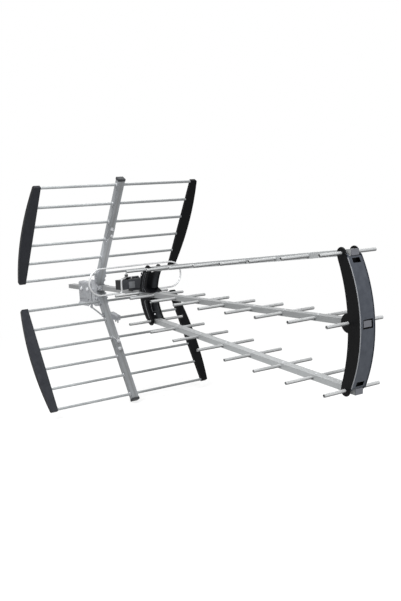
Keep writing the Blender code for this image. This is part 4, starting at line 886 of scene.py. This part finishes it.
def onFront(name, y, heights, steps):  # up the front of a spacer at one width, on whatever face is there
    found = [surfaceAt(name, (1, 0, 0), (0, y, z)) for z in heightsOver(heights, steps)]
    return [p + Vector((ridges["proud"], 0, 0)) for p in found if p is not None]


def mouldingRidges():
    edge = sidePath("front_spacer", 1.0, bead["heights"], -bead["inset"], bead["steps"])
    # painted highlight: a pale bead along the front spacer's near front edge
    growPiece("frontSpacerBead", pathMesh([edge]), ribTree, bead["section"], beadHighlightGrey)
    upper, lower = "rear_spacer_upper", "rear_spacer_lower"
    lines = [sidePath(upper, share, ridges["upperHeights"]) for share in ridges["upperShares"]]
    lines.append(onFront(upper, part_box(upper)[1].y - ridges["farEdgeIn"], ridges["upperHeights"],
                         lookup["pathSteps"]))
    near, far = (onFront(lower, y, ridges["windowZ"], ridges["windowSteps"]) for y in ridges["windowY"])
    lines.append(near + far[::-1] + near[:1])
    # painted highlight: the fine ridges are far paler than the black spacers they stand on
    growPiece("rearSpacerRidges", pathMesh(lines), ribTree, ridges["fine"], glossAndHighlight)
    band = sidePath(lower, ridges["lowerShare"], ridges["lowerHeights"])
    # painted highlight: a broad pale band up the lower spacer's near side
    growPiece("rearSpacerBands", pathMesh([band]), ribTree, ridges["broad"], glossAndHighlight)
    spot = pointMesh([surfaceAt(lower, (1, 0, 0), screwPlace)], [Euler((0, 0, -math.pi / 2))])
    growPiece("rearSpacerScrew", spot, boltTree, screw, brightZincAndGlint)


mouldingRidges()
print("ridges drawn")


# Feed box: grip nuts on the terminals and a raised panel

feedBox = {
    "terminals": ((0.27155, -0.059875), (0.27155, -0.009875)),
    "low": {"Radius": 0.0062, "Rib Depth": 0.0007, "Height": 0.0050, "Ribs": 20},
    "high": {"Radius": 0.0046, "Rib Depth": 0.0006, "Height": 0.0058, "Ribs": 14},
    "knobZ": {"low": 0.0772, "high": 0.0842},
    "panelY": (-0.0575, -0.0401), "panelZ": (0.0530, 0.0705), "panelOut": 0.0010, "panelEase": 0.0004,
}


def feedBoxDetails():
    for level, z in feedBox["knobZ"].items():
        places = pointMesh([(x, y, z) for x, y in feedBox["terminals"]])
        growPiece(level + "TerminalKnobs", places, knobTree, feedBox[level], black)
    (y0, y1), (z0, z1) = feedBox["panelY"], feedBox["panelZ"]
    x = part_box("feed_box")[1].x
    outline = [(x, y0, z0), (x, y1, z0), (x, y1, z1), (x, y0, z1)]
    panel = plateMesh(outline, (1, 0, 0), feedBox["panelOut"], feedBox["panelEase"])
    finishPiece("feedBoxPanel", panel, panelGrey)


feedBoxDetails()
print("feed box dressed")


# Camera

camera = {
    "azimuth": 0.967200419, "elevation": 0.1320064615, "roll": -0.0532758127,
    "place": (2.1614952, -1.1284508, 0.2969439),
    "focalPixels": 819.01784, "longSide": 601.0, "sensor": 36.0, "clip": (0.01, 100.0),
}


def setCamera(settings):
    az, el, roll = settings["azimuth"], settings["elevation"], settings["roll"]
    back = Vector((math.sin(az) * math.cos(el), -math.cos(az) * math.cos(el), math.sin(el)))
    right = Vector((math.cos(az), math.sin(az), 0))
    up = back.cross(right)
    turnedRight = math.cos(roll) * right + math.sin(roll) * up
    turnedUp = -math.sin(roll) * right + math.cos(roll) * up
    data = bpy.data.cameras.new("photoCamera")
    data.sensor_width = settings["sensor"]
    data.lens = settings["focalPixels"] * settings["sensor"] / settings["longSide"]
    data.clip_start, data.clip_end = settings["clip"]
    eye = bpy.data.objects.new("photoCamera", data)
    scene.collection.objects.link(eye)
    turn = Matrix((turnedRight, turnedUp, back)).transposed().to_4x4()
    eye.matrix_world = Matrix.Translation(settings["place"]) @ turn
    scene.camera = eye


setCamera(camera)


# Floor, light and background

studio = {
    "floorDrop": 0.004, "floorSize": 30.0, "floorTone": 0.28, "floorMottle": 1.02, "floorMottleScale": 3.0,
    "floorRough": 0.9, "floorGlow": 0.78, "farGlow": 0.3, "shadowFade": (0.5, 1.6),
    "skyLight": 0.30, "skyColour": (1.0, 1.0, 1.0),
}
lamps = {
    "keyLamp": {"place": (0.3, -1.5, 2.3), "target": (0.45, 0.0, 0.0), "size": 1.5, "power": 70.0},
    "frontLamp": {"place": (3.0, -0.4, 1.0), "target": (0.5, 0.0, 0.0), "size": 1.4, "power": 46.0},
    "topLamp": {"place": (0.5, 0.4, 2.5), "target": (0.4, 0.0, 0.0), "size": 1.6, "power": 22.0},
}


def addLamp(name, settings):
    data = bpy.data.lights.new(name, "AREA")
    data.shape = "SQUARE"
    data.size = settings["size"]
    data.energy = settings["power"]
    lamp = bpy.data.objects.new(name, data)
    scene.collection.objects.link(lamp)
    lamp.location = settings["place"]
    aim = Vector(settings["target"]) - Vector(settings["place"])
    lamp.rotation_euler = aim.to_track_quat("-Z", "Y").to_euler()


def seenRay(tree):  # 1 for camera, glossy and transmission rays
    path = addNode(tree, "ShaderNodeLightPath").outputs
    direct = calc(tree, "MAXIMUM", path["Is Camera Ray"], path["Is Glossy Ray"])
    return calc(tree, "MAXIMUM", direct, path["Is Transmission Ray"])


def setSky():
    sky = bpy.data.worlds.new("studioSky")
    scene.world = sky
    sky.use_nodes = True
    glow = sky.node_tree.nodes["Background"]
    glow.inputs["Color"].default_value = (*studio["skyColour"], 1)
    mixInto(sky.node_tree, "FLOAT", seenRay(sky.node_tree), studio["skyLight"], 1.0, glow.inputs["Strength"])


def floorMaterial(centre):  # pale and shadowed near the antenna, plain white far from it
    made, tree = newMaterial("studioFloor", {"Roughness": studio["floorRough"], "Specular IOR Level": 0.0})
    low = (studio["floorTone"],) * 3
    mottle = noiseFactor(tree, objectPattern(tree), studio["floorMottleScale"])
    stops = list(zip(noiseSpan, (low, scaled(low, studio["floorMottle"]))))
    rampTo(tree, mottle, stops, shaderInput(tree, "Base Color"))
    shaderInput(tree, "Emission Color").default_value = (1, 1, 1, 1)
    nearGlow = calc(tree, "MULTIPLY", seenRay(tree), studio["floorGlow"])
    tree.links.new(nearGlow, shaderInput(tree, "Emission Strength"))
    farGlow = mixInto(tree, "FLOAT", seenRay(tree), studio["farGlow"], 1.0)
    white = addNode(tree, "ShaderNodeEmission", {"Strength": farGlow})
    away = vectorCalc(tree, "DISTANCE", objectCoords(tree), centre)
    blend = addNode(tree, "ShaderNodeMixShader", {
        "Fac": rangeTo(tree, away, studio["shadowFade"], (0.0, 1.0)),
        1: tree.nodes["Principled BSDF"].outputs["BSDF"], 2: white.outputs["Emission"]})
    tree.links.new(blend.outputs["Shader"], tree.nodes["Material Output"].inputs["Surface"])
    return made


def setFloor():
    low, high = cadBox
    middle = (low + high) / 2
    z = low.z - studio["floorDrop"]
    half = studio["floorSize"] / 2
    corners = [(middle.x + a * half, middle.y + b * half, z) for a, b in ((-1, -1), (1, -1), (1, 1), (-1, 1))]
    mesh = bpy.data.meshes.new("studioFloor")
    mesh.from_pydata(corners, [], [(0, 1, 2, 3)])
    mesh.materials.append(floorMaterial((middle.x, middle.y, z)))
    floor = bpy.data.objects.new("studioFloor", mesh)
    scene.collection.objects.link(floor)


for name, settings in lamps.items():
    addLamp(name, settings)
setSky()
setFloor()
scene.view_settings.view_transform = "Standard"
print("studio set")
